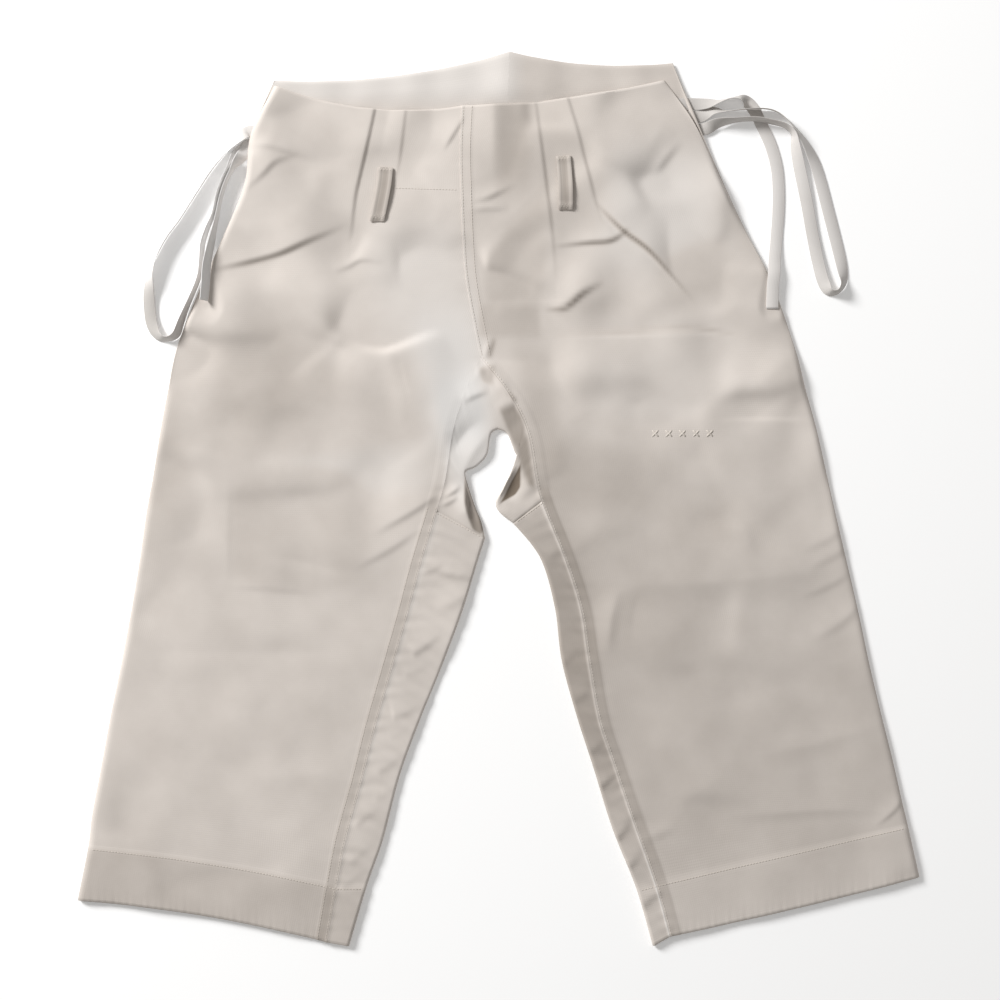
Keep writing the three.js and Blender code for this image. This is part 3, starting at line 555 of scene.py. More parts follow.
def tone_at(x, y):
    """How much deeper the cloth looks, as painted shade, and where negative as painted light:
    turned patches with rounded corners and soft edges, shaded lines and many-sided flats, added
    up. A patch covers (a / half_a)^p + (b / half_b)^p < 1 in its own turned axes."""
    total = np.zeros(np.shape(x))
    for name, mx, my, half_a, half_b, turn, softness, depth in TONES:
        c, s = math.cos(math.radians(turn)), math.sin(math.radians(turn))
        a = np.abs((x - mx) * c + (y - my) * s) / half_a
        b = np.abs((y - my) * c - (x - mx) * s) / half_b
        radius = (a**TONE_POWER + b**TONE_POWER) ** (1 / TONE_POWER)
        total += depth * (1 - smooth(1 - softness, 1 + softness, radius))
    for name, depth, width, points in SHADE_LINES:
        total += crease(x, y, depth, width, width, points)
    for name, softness, depth, corners in SHADE_FLATS:
        inside = np.full(np.shape(x), depth)
        for (ax, ay), (bx, by) in zip(corners, corners[1:] + corners[:1]):
            beyond = ((x - ax) * (by - ay) - (y - ay) * (bx - ax)) / math.hypot(bx - ax, by - ay)
            inside *= smooth(-softness, softness, beyond)
        total += inside
    return total


def rolled(distance, radius):
    """0 at an edge and 1 from radius on, along a quarter circle."""
    t = np.clip(distance / radius, 0, 1)
    return np.sqrt(1 - (1 - t) ** 2)


def across_leg(leg, part, row, u):
    """Place on a row of a front or back, from the side seam, u = 0, to the inner line."""
    a = leg_line(leg, part + "outer", row)
    b = leg_line(leg, part + "inner", row)
    place = a + (b - a) * u[..., None]
    sag = np.interp(row, np.arange(LAST + 1), leg[part + "sag"])
    place[..., 1] += sag * 4 * u * (1 - u)
    return place, length_of(b - a)


def side_level(leg, y):
    """Height at which front and back meet at the side, raised where the tapes come out."""
    return SIDE_HEIGHT + EXIT_LIFT * bell(y - EXIT_HEIGHT[leg["name"]], EXIT_REACH)


ROW_LENGTH = 52  # mean distance between two rows of the tables
EDGE_RADIUS = 2.4  # of a folded edge at the waist and the hem
EDGE_DROP = 1.5
HEM_PUCKER = 0.35  # height of the small waves along the hem edge
HEM_PUCKER_REACH = 9
HEM_PUCKER_RATE = 2.3  # how much closer they lie than those of the seams
HEM_STEP = 0.025  # half the hem's step, in rows
BAND_EDGE = 1.4  # half the step at the edge of a felled band
SEAM_PUCKER_LEAST, SEAM_PUCKER_MORE = 0.15, 0.45  # height, and what the gusset's seams add
FRONT_PUCKER_REACH = 7
STRIP_PUCKER_REACH = 14


def edge_drop(row):
    """Height lost towards the waist edge and the hem edge, where the cloth is folded."""
    waist = 1 - rolled(row * ROW_LENGTH, EDGE_RADIUS)
    hem = 1 - rolled((LAST - row) * ROW_LENGTH, EDGE_RADIUS)
    return EDGE_DROP * (waist + hem)


def hem_rise(row):
    """Step of the turned-in hem: HEM_RISE, eased in over two HEM_STEPs."""
    return HEM_RISE * smooth(HEM_TOP - HEM_STEP, HEM_TOP + HEM_STEP, row)


def seam_clearness(leg, row):
    """How clearly the inner seam shows: hardly at the fork of the right leg, and on the
    centre seam only the left front has a felled band."""
    if leg is RIGHT:
        return smooth(CROTCH + 0.6, CORNER - 0.3, row)
    return 1 - 0.5 * smooth(CROTCH - 1, CROTCH, row) * (1 - smooth(CROTCH, CROTCH + 1.5, row))


def seam_pucker(row, y):
    """Height of the puckers at the inner seam, the same for the cloth on both its sides."""
    height = SEAM_PUCKER_LEAST + SEAM_PUCKER_MORE * smooth(CROTCH + 2, CORNER, row)
    return height * uneven(y)


def front_place(leg, row, u):
    """Middle of a front's wall: the upper face, less half the wall, with a low ridge at the
    seams, a raised felled band beside them, the hem's step, and a quarter round at the side."""
    place, width = across_leg(leg, "", row, u)
    x, y = place[..., 0], place[..., 1]
    to_seam = (1 - u) * width
    z = upper_face(x, y) - WALL / 2
    clear = seam_clearness(leg, row)
    z += clear * SEAM_RISE * bell(to_seam, SEAM_WIDTH)
    z += clear * FELL_RISE * (1 - smooth(FELL_WIDTH - BAND_EDGE, FELL_WIDTH + BAND_EDGE, to_seam))
    z += seam_pucker(row, y) * np.exp(-to_seam / FRONT_PUCKER_REACH)
    z += hem_rise(row) - edge_drop(row)
    from_hem = (LAST - row) * ROW_LENGTH
    z += HEM_PUCKER * uneven(HEM_PUCKER_RATE * x) * np.exp(-from_hem / HEM_PUCKER_REACH)
    low = side_level(leg, y)
    z = low + (z - low) * rolled(u * width, SIDE_RADIUS)
    return np.stack([x, y, z], -1)


HEM_TONE = {"right": 0.36, "left": -0.02}  # how much deeper a hem looks
HEM_TONE_STEP = 0.03
INSEAM_SHADE = 0.34  # the left leg's front turns from the light towards its inseam
INSEAM_REACH = 55
BAND_TONE = 0.42  # how much deeper a felled band looks, below the gusset
BAND_TONE_EDGE = 1.0


def on_hem(row):
    """0 above the hem and 1 on it, eased over two HEM_TONE_STEPs."""
    return smooth(HEM_TOP - HEM_TONE_STEP, HEM_TOP + HEM_TONE_STEP, row)


def front_tone(leg, row, u):
    """Tone of a front: the painted shade and light of tone_at, deeper on the felled band
    and the hem, painted shade towards the left inseam by e^(−distance / INSEAM_REACH), and
    paler right at the seam."""
    place, width = across_leg(leg, "", row, u)
    to_seam = (1 - u) * width
    band = 1 - smooth(FELL_WIDTH - BAND_TONE_EDGE, FELL_WIDTH + BAND_TONE_EDGE, to_seam)
    tone = tone_at(place[..., 0], place[..., 1])
    tone += BAND_TONE * band * smooth(CORNER - 1, CORNER, row)
    below = smooth(CROTCH + 1, CORNER, row)
    lit = smooth(CORNER + 4, HEM_TOP, row)
    pale = SEAM_PALE["right"] + (SEAM_PALE[leg["name"]] - SEAM_PALE["right"]) * below
    tone -= pale * seam_clearness(leg, row) * bell(to_seam, SEAM_WIDTH)
    if leg is LEFT:
        tone += INSEAM_SHADE * np.exp(-to_seam / INSEAM_REACH) * (below - lit)
    return tone + HEM_TONE[leg["name"]] * on_hem(row)


CASING_ROW = 0.24  # the back's casing seam
CASING_GROOVE, CASING_GROOVE_WIDTH = 0.2, 1.8
BEHIND = (396, 424)  # from the first height the back starts to show behind the fronts' edge
TENT_LEAST = 1.0  # height of the back's centre seam
TENT_RISE = 4.2  # how far it stands up where it shows
TENT_WIDTH = 26
TENT_CREST = 9  # roundness of its crest
BEHIND_RISE = 1.6  # how far the rest of the back stands up there
BEHIND_SINES = [(0.5, 19, 0), (0.35, 7.3, 1)]  # height, length / 2π and phase
BACK_EDGE_DROP = 0.9


def back_place(leg, row, u):
    """Middle of a back's wall where it lies on the surface: flat, with low creases, a tent
    along the centre back seam at the waist, and the lower quarter round at the side."""
    place, width = across_leg(leg, "back_", row, u)
    x, y = place[..., 0], place[..., 1]
    z = np.full(x.shape, WALL / 2)
    for height, spread, points in BACK_CREASES:
        z += crease(x, y, height, spread, spread, points)
    behind = smooth(*BEHIND, y)
    to_centre = np.sqrt(((1 - u) * width) ** 2 + TENT_CREST**2)
    tent = (TENT_LEAST + TENT_RISE * behind) * np.exp(-to_centre / TENT_WIDTH)
    z += tent * (1 - smooth(1, 2.5, row))
    z += behind * (BEHIND_RISE + sum(rise * np.sin(x / size + phase) for rise, size, phase in BEHIND_SINES))
    z -= CASING_GROOVE * behind * bell((row - CASING_ROW) * ROW_LENGTH, CASING_GROOVE_WIDTH)
    z -= BACK_EDGE_DROP * (1 - rolled(row * ROW_LENGTH, EDGE_RADIUS))
    z = np.maximum(z, WALL / 2)
    low = side_level(leg, y)
    z = low + (z - low) * rolled(u * width, SIDE_RADIUS)
    return np.stack([x, y, z], -1)


TURN_RADIUS = 2.6
FELL_FADE = 2  # reach of the fell's rise beyond the seam
STRIP_WAVE = 0.5  # height of the small waves across the turned strip
STRIP_EDGE_DROP = 1.4
CROSS_SEAM, CROSS_SEAM_WIDTH = 0.9, 1.3  # groove where the gusset meets the strip


def folded_place(leg, key, row, w):
    """Middle of a wall that lies on the surface from the seam to a folded edge (w 0 to 1),
    turns round it (1 to 2) and comes back over the top to the seam (2 to 3)."""
    seam = leg_line(leg, "inner", row)
    edge = leg_line(leg, key, row)
    length = length_of(edge - seam)
    turn_at = length - TURN_RADIUS
    angle = math.pi * np.clip(w - 1, 0, 1)
    flat = turn_at * np.where(w < 1.5, np.clip(w, 0, 1), np.clip(3 - w, 0, 1))
    reach = flat + TURN_RADIUS * np.sin(angle)
    toward = unit(edge - seam)
    place = seam + toward * reach[..., None]
    x, y = place[..., 0], place[..., 1]
    held = seam + toward * flat[..., None]
    top = upper_face(held[..., 0], held[..., 1]) - WALL / 2
    clear = seam_clearness(leg, row)
    top += clear * (SEAM_RISE * bell(flat, SEAM_WIDTH) + FELL_RISE * np.exp(-flat / FELL_FADE))
    top += seam_pucker(row, seam[..., 1]) * np.exp(-flat / STRIP_PUCKER_REACH) + hem_rise(row)
    on_strip = smooth(4, 14, flat) * smooth(CORNER, CORNER + 0.4, row)
    top += STRIP_WAVE * uneven(0.8 * y + 0.5 * x) * on_strip
    top -= STRIP_EDGE_DROP * (1 - rolled((LAST - row) * ROW_LENGTH, EDGE_RADIUS))
    top -= CROSS_SEAM * bell((row - CORNER) * ROW_LENGTH, CROSS_SEAM_WIDTH)
    bottom = WALL / 2
    z = bottom + (top - bottom) * (1 - np.cos(angle)) / 2
    return np.stack([x, y, z], -1)


# ---- Meshes ----
def new_piece(name, vertices, faces, material, replaces=()):
    """A smooth-shaded mesh piece from points in millimetres. All pieces ride on one body."""
    mesh = bpy.data.meshes.new(name)
    mesh.from_pydata((np.asarray(vertices) * MM).tolist(), [], faces)
    mesh.polygons.foreach_set("use_smooth", np.ones(len(mesh.polygons), bool))
    mesh.materials.append(material)
    piece = bpy.data.objects.new(name, mesh)
    bpy.context.scene.collection.objects.link(piece)
    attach(piece, "root")
    if replaces:
        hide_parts(*replaces)
    return piece


def grid_faces(rows, columns, turned, first=0):
    """Quads of a grid whose points are numbered row by row."""
    a = first + np.arange(rows - 1)[:, None] * columns + np.arange(columns - 1)
    quads = np.stack([a, a + 1, a + columns + 1, a + columns], -1).reshape(-1, 4)
    return (quads[:, ::-1] if turned else quads).tolist()


def give_uv(mesh, uv):
    """Writes each point's place in the cloth's own plane, for every face corner at it."""
    layer = mesh.uv_layers.new(name="cloth")
    corner = np.zeros(len(mesh.loops), np.int32)
    mesh.loops.foreach_get("vertex_index", corner)
    layer.data.foreach_set("uv", np.asarray(uv, np.float32)[corner].ravel())


def give_tone(mesh, tones):
    """Writes how much deeper the cloth looks at each point: most of it painted shade, and painted
    light where negative.
    """
    layer = mesh.attributes.new("tone", "FLOAT", "POINT")
    layer.data.foreach_set("value", np.ravel(tones).astype(np.float32))


def cloth_uv(points):
    """Lengths along and across the cloth, in metres, from the grid's own spacing."""
    across = np.zeros(points.shape[:2])
    down = np.zeros(points.shape[:2])
    across[:, 1:] = np.cumsum(length_of(np.diff(points, axis=1)), axis=1)
    down[1:] = np.cumsum(length_of(np.diff(points, axis=0)), axis=0)
    middle = down.mean(1, keepdims=True) + 0 * down
    return np.stack([across, middle], -1) * MM


RIM_ANGLE = 50  # in degrees: a cut edge of the cloth stays crisp


def solidify(piece, thickness):
    """Gives the sheet its wall, half of the thickness to each side, and a crisp cut edge."""
    wall = piece.modifiers.new("wall", "SOLIDIFY")
    wall.thickness = thickness * MM
    wall.offset = 0
    bpy.context.view_layer.update()
    finished = piece.evaluated_get(bpy.context.evaluated_depsgraph_get())
    made = bpy.data.meshes.new_from_object(finished)
    made.set_sharp_from_angle(angle=math.radians(RIM_ANGLE))
    piece.modifiers.clear()
    piece.data = made


def cloth_piece(name, grids, tones, turned, material, replaces):
    """One wall of canvas from a grid of points, or from two that share their border points."""
    vertices, faces, uv = [], [], []
    first = 0
    for points in grids:
        rows, columns = points.shape[:2]
        faces += grid_faces(rows, columns, turned, first)
        vertices.append(points.reshape(-1, 3))
        uv.append(cloth_uv(points).reshape(-1, 2))
        first += rows * columns
    piece = new_piece(name, np.vstack(vertices), faces, material, replaces)
    give_uv(piece.data, np.vstack(uv))
    give_tone(piece.data, np.concatenate([np.ravel(part) for part in tones]))
    if len(grids) > 1:
        bpy.context.view_layer.update()
        work = bmesh.new()
        work.from_mesh(piece.data)
        bmesh.ops.remove_doubles(work, verts=work.verts, dist=WELD)
        work.to_mesh(piece.data)
        work.free()
    solidify(piece, WALL)
    return piece


# ---- Finishes ----
def linear(code):
    """sRGB hex to linear colour."""
    parts = [int(code[i:i + 2], 16) / 255 for i in (0, 2, 4)]
    return [c / 12.92 if c <= 0.04045 else ((c + 0.055) / 1.055) ** 2.4 for c in parts] + [1]


def add(tree, kind, settings=(), inputs=()):
    """Adds a node, sets its properties, then its sockets: a value, or a node's output."""
    node = tree.nodes.new(kind)
    for key, value in dict(settings).items():
        setattr(node, key, value)
    for key, value in dict(inputs).items():
        if isinstance(value, bpy.types.NodeSocket):
            tree.links.new(value, node.inputs[key])
        else:
            node.inputs[key].default_value = value
    return node


WAVE_UNIT = 0.314  # a wave texture of scale 1 repeats after this length, in metres
NAP_SIZE = 2.381 * MM  # tufts of the short nap: real ones are 0.3 mm, which wouldn't show
PATCH_SIZE = 26.316 * MM  # hand-sized unevenness of washed cotton
SLOW_SIZE = 142.86 * MM  # the same over a whole panel
PATCH_SHARE, SLOW_SHARE = 0.16, 0.24  # of the way from the pale colour to the deep one
THREAD_DEPTH = 0.4 * MM
PAINTED_LIGHT_GAIN = 1.3  # how soon a stretch paler than the rest, which is painted light, reaches the painted light's colour


def woven(name, pale, deep, painted_light_colour, pitch, tone_gain, weave_strength, sheen):
    """Cotton cloth. Its bump is the product of two sets of wavy threads that cross, plus the
    nap. Its colour goes from pale to deep with PATCH_SHARE and SLOW_SHARE of two noises and
    tone_gain of the piece's tone, most of which is painted shade, and where that tone is
    negative, which is painted light, on to the paler colour given for that light."""
    material = bpy.data.materials.new(name)
    material.use_nodes = True
    tree = material.node_tree
    tree.nodes.clear()
    uv = add(tree, "ShaderNodeUVMap", {"uv_map": "cloth"}).outputs["UV"]
    place = add(tree, "ShaderNodeTexCoord").outputs["Object"]
    threads = []
    for direction in ("X", "Y"):
        wave = add(tree, "ShaderNodeTexWave", {"bands_direction": direction}, {
            "Vector": uv, "Scale": WAVE_UNIT / pitch, "Distortion": 1.1, "Detail": 2.0,
            "Detail Scale": 1.2,
        })
        threads.append(wave.outputs["Fac"])
    weave = add(tree, "ShaderNodeMath", {"operation": "MULTIPLY"}, dict(enumerate(threads)))
    nap, slow, patchy = (
        add(tree, "ShaderNodeTexNoise", inputs={"Vector": place, "Scale": 1 / size, "Detail": detail})
        for size, detail in ((NAP_SIZE, 3.0), (SLOW_SIZE, 2.0), (PATCH_SIZE, 4.0))
    )
    height = add(tree, "ShaderNodeMath", {"operation": "ADD"}, {
        0: weave.outputs[0], 1: nap.outputs["Fac"]})
    bump = add(tree, "ShaderNodeBump", inputs={
        "Strength": weave_strength, "Distance": THREAD_DEPTH, "Height": height.outputs[0]})
    tone = add(tree, "ShaderNodeAttribute", {"attribute_name": "tone"}).outputs["Fac"]
    mix = add(tree, "ShaderNodeMath", {"operation": "MULTIPLY"}, {
        0: slow.outputs["Fac"], 1: SLOW_SHARE})
    mix = add(tree, "ShaderNodeMath", {"operation": "MULTIPLY_ADD"}, {
        0: patchy.outputs["Fac"], 1: PATCH_SHARE, 2: mix.outputs[0]})
    mix = add(tree, "ShaderNodeMath", {"operation": "MULTIPLY_ADD"}, {
        0: tone, 1: tone_gain, 2: mix.outputs[0]})
    colour = add(tree, "ShaderNodeMix", {"data_type": "RGBA", "clamp_factor": True}, {
        "Factor": mix.outputs[0], "A": linear(pale), "B": linear(deep)})
    # painted light: where the tone is negative, the colour goes on towards the paler one
    painted_light = add(tree, "ShaderNodeMath", {"operation": "MULTIPLY"}, {0: tone, 1: -PAINTED_LIGHT_GAIN})
    colour = add(tree, "ShaderNodeMix", {"data_type": "RGBA", "clamp_factor": True}, {
        "Factor": painted_light.outputs[0], "A": colour.outputs["Result"], "B": linear(painted_light_colour)})
    shader = add(tree, "ShaderNodeBsdfPrincipled", inputs={
        "Base Color": colour.outputs["Result"], "Roughness": 0.88, "IOR": 1.46,
        "Specular IOR Level": 0.3, "Sheen Weight": sheen, "Sheen Roughness": 0.45,
        "Normal": bump.outputs["Normal"]})
    add(tree, "ShaderNodeOutputMaterial", inputs={"Surface": shader.outputs["BSDF"]})
    return material


def plain(name, code, roughness, glow=0.0):
    """One even colour with little gloss, for what is too small or too plain for a pattern."""
    material = bpy.data.materials.new(name)
    material.use_nodes = True
    tree = material.node_tree
    tree.nodes.clear()
    shader = add(tree, "ShaderNodeBsdfPrincipled", inputs={
        "Base Color": linear(code), "Roughness": roughness, "Specular IOR Level": 0.2,
        "Emission Color": (1, 1, 1, 1), "Emission Strength": glow})
    add(tree, "ShaderNodeOutputMaterial", inputs={"Surface": shader.outputs["BSDF"]})
    return material


CANVAS_PITCH = 2.2 * MM  # real threads are 0.6 mm apart: coarser here, or they wouldn't show
TAPE_PITCH = 1.6 * MM  # coarser for the same reason
# Heavy unbleached cotton canvas, plain woven and washed: warm off-white and matt, with a faint
# grid of threads, cloudy unevenness, and a soft edge of light from its nap. Its deep colour
# also serves painted shade, and the last, paler one painted light.
canvas = woven("off_white_cotton_canvas", "EAE2DB", "7A6E61", "E2DFDC", CANVAS_PITCH, 0.44, 0.15, 0.08)
# Bleached cotton twill tape, woven narrow: whiter and cooler than the canvas, finer and smoother.
# Its deep colour also serves painted shade, and the last, paler one painted light.
tape_cotton = woven("white_cotton_tape", "EFEBE8", "A8A39D", "F6F5F4", TAPE_PITCH, 0.4, 0.16, 0.05)
# Spun cotton sewing thread: close to the canvas in colour, so that a row reads as a fine line.
thread = plain("white_cotton_thread", "D8D0C7", 0.8)

# ---- Camera ----
view = bpy.data.cameras.new("overhead_view")
view.lens = LENS
camera = bpy.data.objects.new("overhead_view", view)
camera.location = CAMERA_PLACE
bpy.context.scene.collection.objects.link(camera)
bpy.context.scene.camera = camera


# ---- Tie tapes ----
# The tape's section, in half widths and half thicknesses: a rectangle with eased edges
SECTION = [(-1, -0.5), (-0.94, -1), (0.94, -1), (1, -0.5), (1, 0.5), (0.94, 1), (-0.94, 1), (-1, 0.5)]
LEAST_LIFT = 0.1  # of the tape's underside over the surface
LEAST_HEIGHT = 0.02  # of any point of it


def tape_frames(rows):
    """Middle of the tape, its broad way and its thin way at close steps along the route:
    the broad way is level across the route, turned about the route by the bank."""
    rows = np.asarray(rows, float)
    plan = length_of(np.diff(rows[:, :2], axis=0)).sum()
    at = np.linspace(0, len(rows) - 1, int(plan / TAPE_STEP) + 1)
    x, y, bank, lift = spline(rows, at).T
    bank = np.radians(bank)
    reach = (TAPE_WIDTH * np.abs(np.sin(bank)) + TAPE_THICKNESS * np.cos(bank)) / 2
    middle = np.stack([x, y, np.maximum(lift, LEAST_LIFT) + reach], -1)
    along = unit(np.gradient(middle, axis=0))
    level = unit(np.cross([0, 0, 1], along))
    lean = np.cross(along, level)
    broad = level * np.cos(bank)[:, None] + lean * np.sin(bank)[:, None]
    return middle, broad, np.cross(along, broad)


def tie_tape(node, rows):
    """A closed ribbon: a thin section with eased edges carried along the route."""
    middle, broad, thin = tape_frames(rows)
    count, around = len(middle), len(SECTION)
    points = np.zeros((count, around, 3))
    for k, (w, h) in enumerate(SECTION):
        points[:, k] = middle + broad * w * TAPE_WIDTH / 2 + thin * h * TAPE_THICKNESS / 2
    points[..., 2] = np.maximum(points[..., 2], LEAST_HEIGHT)
    ring = np.arange(around)
    a = np.arange(count - 1)[:, None] * around + ring
    b = np.arange(count - 1)[:, None] * around + (ring + 1) % around
    faces = np.stack([a, b, b + around, a + around], -1).reshape(-1, 4).tolist()
    faces += [ring[::-1].tolist(), (ring + (count - 1) * around).tolist()]
    piece = new_piece(node + "_ribbon", points.reshape(-1, 3), faces, tape_cotton, [node])
    travel = np.concatenate([[0], np.cumsum(length_of(np.diff(middle, axis=0)))])
    uv = np.zeros((count, around, 2))
    uv[..., 0] = np.array([w for w, h in SECTION]) * TAPE_WIDTH / 2
    uv[..., 1] = travel[:, None]
    give_uv(piece.data, uv.reshape(-1, 2) * MM)
    tone = np.interp(travel, *zip(*TAPE_TONES[node]))
    give_tone(piece.data, np.repeat(tone, around))


for node, rows in TAPES.items():
    tie_tape(node, rows)


# ---- Panels ----
PANEL_ROWS, GUSSET_ROWS = 325, 90
FRONT_COLUMNS, BACK_COLUMNS = 142, 64
ROLL_ANGLES = np.radians([0, 20, 40, 58, 74])  # where the columns round the rolled side lie


def side_columns(width, count):
    """Shares of a row's width: close ones round the rolled side, then even ones."""
    near = SIDE_RADIUS * (1 - np.cos(ROLL_ANGLES)) / width
    start = SIDE_RADIUS / width
    return np.concatenate([near, start + (1 - start) * np.linspace(0, 1, count)], axis=1)


def panel_grid(leg, part, columns):
    """Row number and share of the width of each point of a front or back."""
    row = np.linspace(0, LAST, PANEL_ROWS)
    width = length_of(leg_line(leg, part + "inner", row) - leg_line(leg, part + "outer", row))
    u = side_columns(width[:, None], columns)
    return np.repeat(row[:, None], u.shape[1], axis=1), u


def front_panel(leg):
    """A front: front_place over the whole grid."""
    row, u = panel_grid(leg, "", FRONT_COLUMNS)
    return cloth_piece(
        f"front_{leg['name']}_cloth", [front_place(leg, row, u)], [front_tone(leg, row, u)],
        leg is RIGHT, canvas, [f"front_{leg['name']}_panel"],
    )


STRIP_STEPS = np.concatenate([  # out along the surface, round the fold, and back over the top
    np.linspace(0, 1, 7)[:-1], np.linspace(1, 2, 9)[:-1], np.linspace(2, 3, 26),
])
STRIP_ROWS = [CORNER, CORNER + 1.5, CORNER + 4.5, HEM_TOP]  # gusset seam, thigh, calf and hem
STRIP_TONE = {  # how much deeper the turned strip looks at those rows, in painted shade
    "right": (0.0, 0.0, 0.0, 0.1),
    "left": (0.42, 0.85, 1.0, 0.15),
}
STRIP_HEM_TONE = {"right": 0.2, "left": 0.0}
STRIP_SEAM_FROM = 2.85  # where along the strip the paler cloth at the seam starts
BEHIND_TONE, BEHIND_TONE_LEFT = -0.34, 0.45  # of the back's inside at the waist: painted light over the right back, and painted shade added over the left one


def back_panel(leg):
    """A back: back_place over the whole grid, and from the gusset down the strip that turns
    round the inner leg, by folded_place. Both hold the points of the line between them."""
    name = leg["name"]
    row, u = panel_grid(leg, "back_", BACK_COLUMNS)
    flat = back_place(leg, row, u)
    first = CORNER * (PANEL_ROWS - 1) // LAST + 1
    w, at = np.meshgrid(STRIP_STEPS, np.concatenate([[CORNER], row[first:, 0]]))
    strip = folded_place(leg, "fold", at, w)
    strip[1:, 0] = flat[first:, -1]
    away_from_light = BEHIND_TONE + BEHIND_TONE_LEFT * smooth(6, 40, flat[..., 0])
    flat_tone = smooth(*BEHIND, flat[..., 1]) * away_from_light
    strip_tone = np.interp(at, STRIP_ROWS, STRIP_TONE[name]) + STRIP_HEM_TONE[name] * on_hem(at)
    strip_tone -= SEAM_PALE[name] * smooth(STRIP_SEAM_FROM, 3, w)
    return cloth_piece(
        f"back_{name}_cloth", [flat, strip], [flat_tone, strip_tone],
        leg is RIGHT, canvas, [f"back_{name}_panel"],
    )


def gusset():
    """The gusset: folded_place up the right leg's gusset seam and down the left leg's."""
    right_rows = np.linspace(CORNER, CROTCH, GUSSET_ROWS)
    left_rows = np.linspace(CROTCH, CORNER, GUSSET_ROWS)[1:]
    halves = []
    for leg, rows in ((RIGHT, right_rows), (LEFT, left_rows)):
        w, at = np.meshgrid(STRIP_STEPS, rows)
        halves.append(folded_place(leg, "gusset_edge", at, w))
    points = np.concatenate(halves)
    tone = tone_at(points[..., 0], points[..., 1])
    return cloth_piece("gusset_cloth", [points], [tone], True, canvas, ["crotch_gusset"])


for leg in (RIGHT, LEFT):
    front_panel(leg)
    back_panel(leg)
gusset()

# ---- Belt loops ----
# leg, row and place across the front at the top end, and at the lower end
BELT_LOOPS = {
    "belt_loop_right": (RIGHT, 1.48, 0.649, 2.645, 0.633),
    "belt_loop_left": (LEFT, 1.32, 0.579, 2.42, 0.619),
}
LOOP_RUN = 54  # a loop's length
LOOP_EDGE = 1.7  # from its edge to its row of stitches
LOOP_EDGE_RISE, LOOP_EDGE_WIDTH = 0.5, 1.2  # the layers folded in at the edges
LOOP_END_RISE, LOOP_END_WIDTH = 0.7, 3  # and those at the ends
LOOP_TOP_END, LOOP_LOW_END = 3, 4  # middles of the latter, from the ends
LOOP_TONE, LOOP_MIDDLE_TONE = 0.48, 0.5  # how much deeper a loop looks, and its middle more so
LOOP_ROWS, LOOP_COLUMNS = 46, 15
LOOP_TACKS = (0.035, 0.93)  # places of the bar tacks along a loop
TACK_POINTS, TACK_DEPTH = 9, 0.03  # turns of a zigzag, and half its depth along the loop
TACK_PITCH, TACK_SIZE = 2.0, 0.8


def loop_place(loop, t, across):
    """Middle of a belt loop's wall: over the front's face at the loop's middle line, bowed
    between its sewn ends, with the edges raised by the layers folded in there."""
    leg, top_row, top_place, end_row, end_place = loop
    row = top_row + (end_row - top_row) * t
    middle = top_place + (end_place - top_place) * t
    width = length_of(leg_line(leg, "inner", row) - leg_line(leg, "outer", row))
    place = front_place(leg, row, middle + across * LOOP_WIDTH / width)
    base = front_place(leg, row, middle)
    z = np.maximum(base[..., 2], place[..., 2]) + WALL / 2 + LOOP_THICKNESS / 2
    z += LOOP_BOW * np.sin(math.pi * np.clip(t, 0, 1)) ** 0.7
    z += LOOP_EDGE_RISE * bell((0.5 - np.abs(across)) * LOOP_WIDTH - LOOP_EDGE, LOOP_EDGE_WIDTH)
    z += LOOP_END_RISE * bell((1 - t) * LOOP_RUN - LOOP_LOW_END, LOOP_END_WIDTH)
    z += LOOP_END_RISE * bell(t * LOOP_RUN - LOOP_TOP_END, LOOP_END_WIDTH)
    place[..., 2] = z
    return place


for name, loop in BELT_LOOPS.items():
    across, t = np.meshgrid(np.linspace(-0.5, 0.5, LOOP_COLUMNS), np.linspace(0, 1, LOOP_ROWS))
    points = loop_place(loop, t, across)
    piece = new_piece(
        name + "_band", points.reshape(-1, 3), grid_faces(LOOP_ROWS, LOOP_COLUMNS, loop[0] is RIGHT),
        canvas, [name],
    )
    give_uv(piece.data, cloth_uv(points).reshape(-1, 2))
    give_tone(piece.data, LOOP_TONE + LOOP_MIDDLE_TONE * bell(across, 0.3))
    solidify(piece, LOOP_THICKNESS)

# ---- Stitches ----
# A stitch's four sections: share of its length from the middle, share of its width, and height
STITCH_SECTIONS = [(-0.5, 0.6, -0.22), (-0.3, 1, 0.1), (0.3, 1, 0.1), (0.5, 0.6, -0.22)]
STITCH_LENGTH, STITCH_WIDTH, STITCH_DEPTH = 2.8, 0.5, 0.25
STITCH_CORNERS = ((-1, -1), (1, -1), (1, 1), (-1, 1))
HEADING_REACH = 0.3  # to each side, for the direction of the line at a stitch


def stitch_run(points, pitch=STITCH_PITCH, size=1.0):
    """Middles, directions and sizes of the stitches, evenly spaced along a line of points."""
    travel = np.concatenate([[0], np.cumsum(length_of(np.diff(points, axis=0)))])
    at = np.arange(pitch / 2, travel[-1], pitch)
    behind, middle, ahead = (
        np.stack([np.interp(at + shift, travel, points[:, k]) for k in range(3)], -1)
        for shift in (-HEADING_REACH, 0, HEADING_REACH)
    )
    return middle, unit(ahead - behind + [1e-9, 0, 0]), np.full(len(at), size)


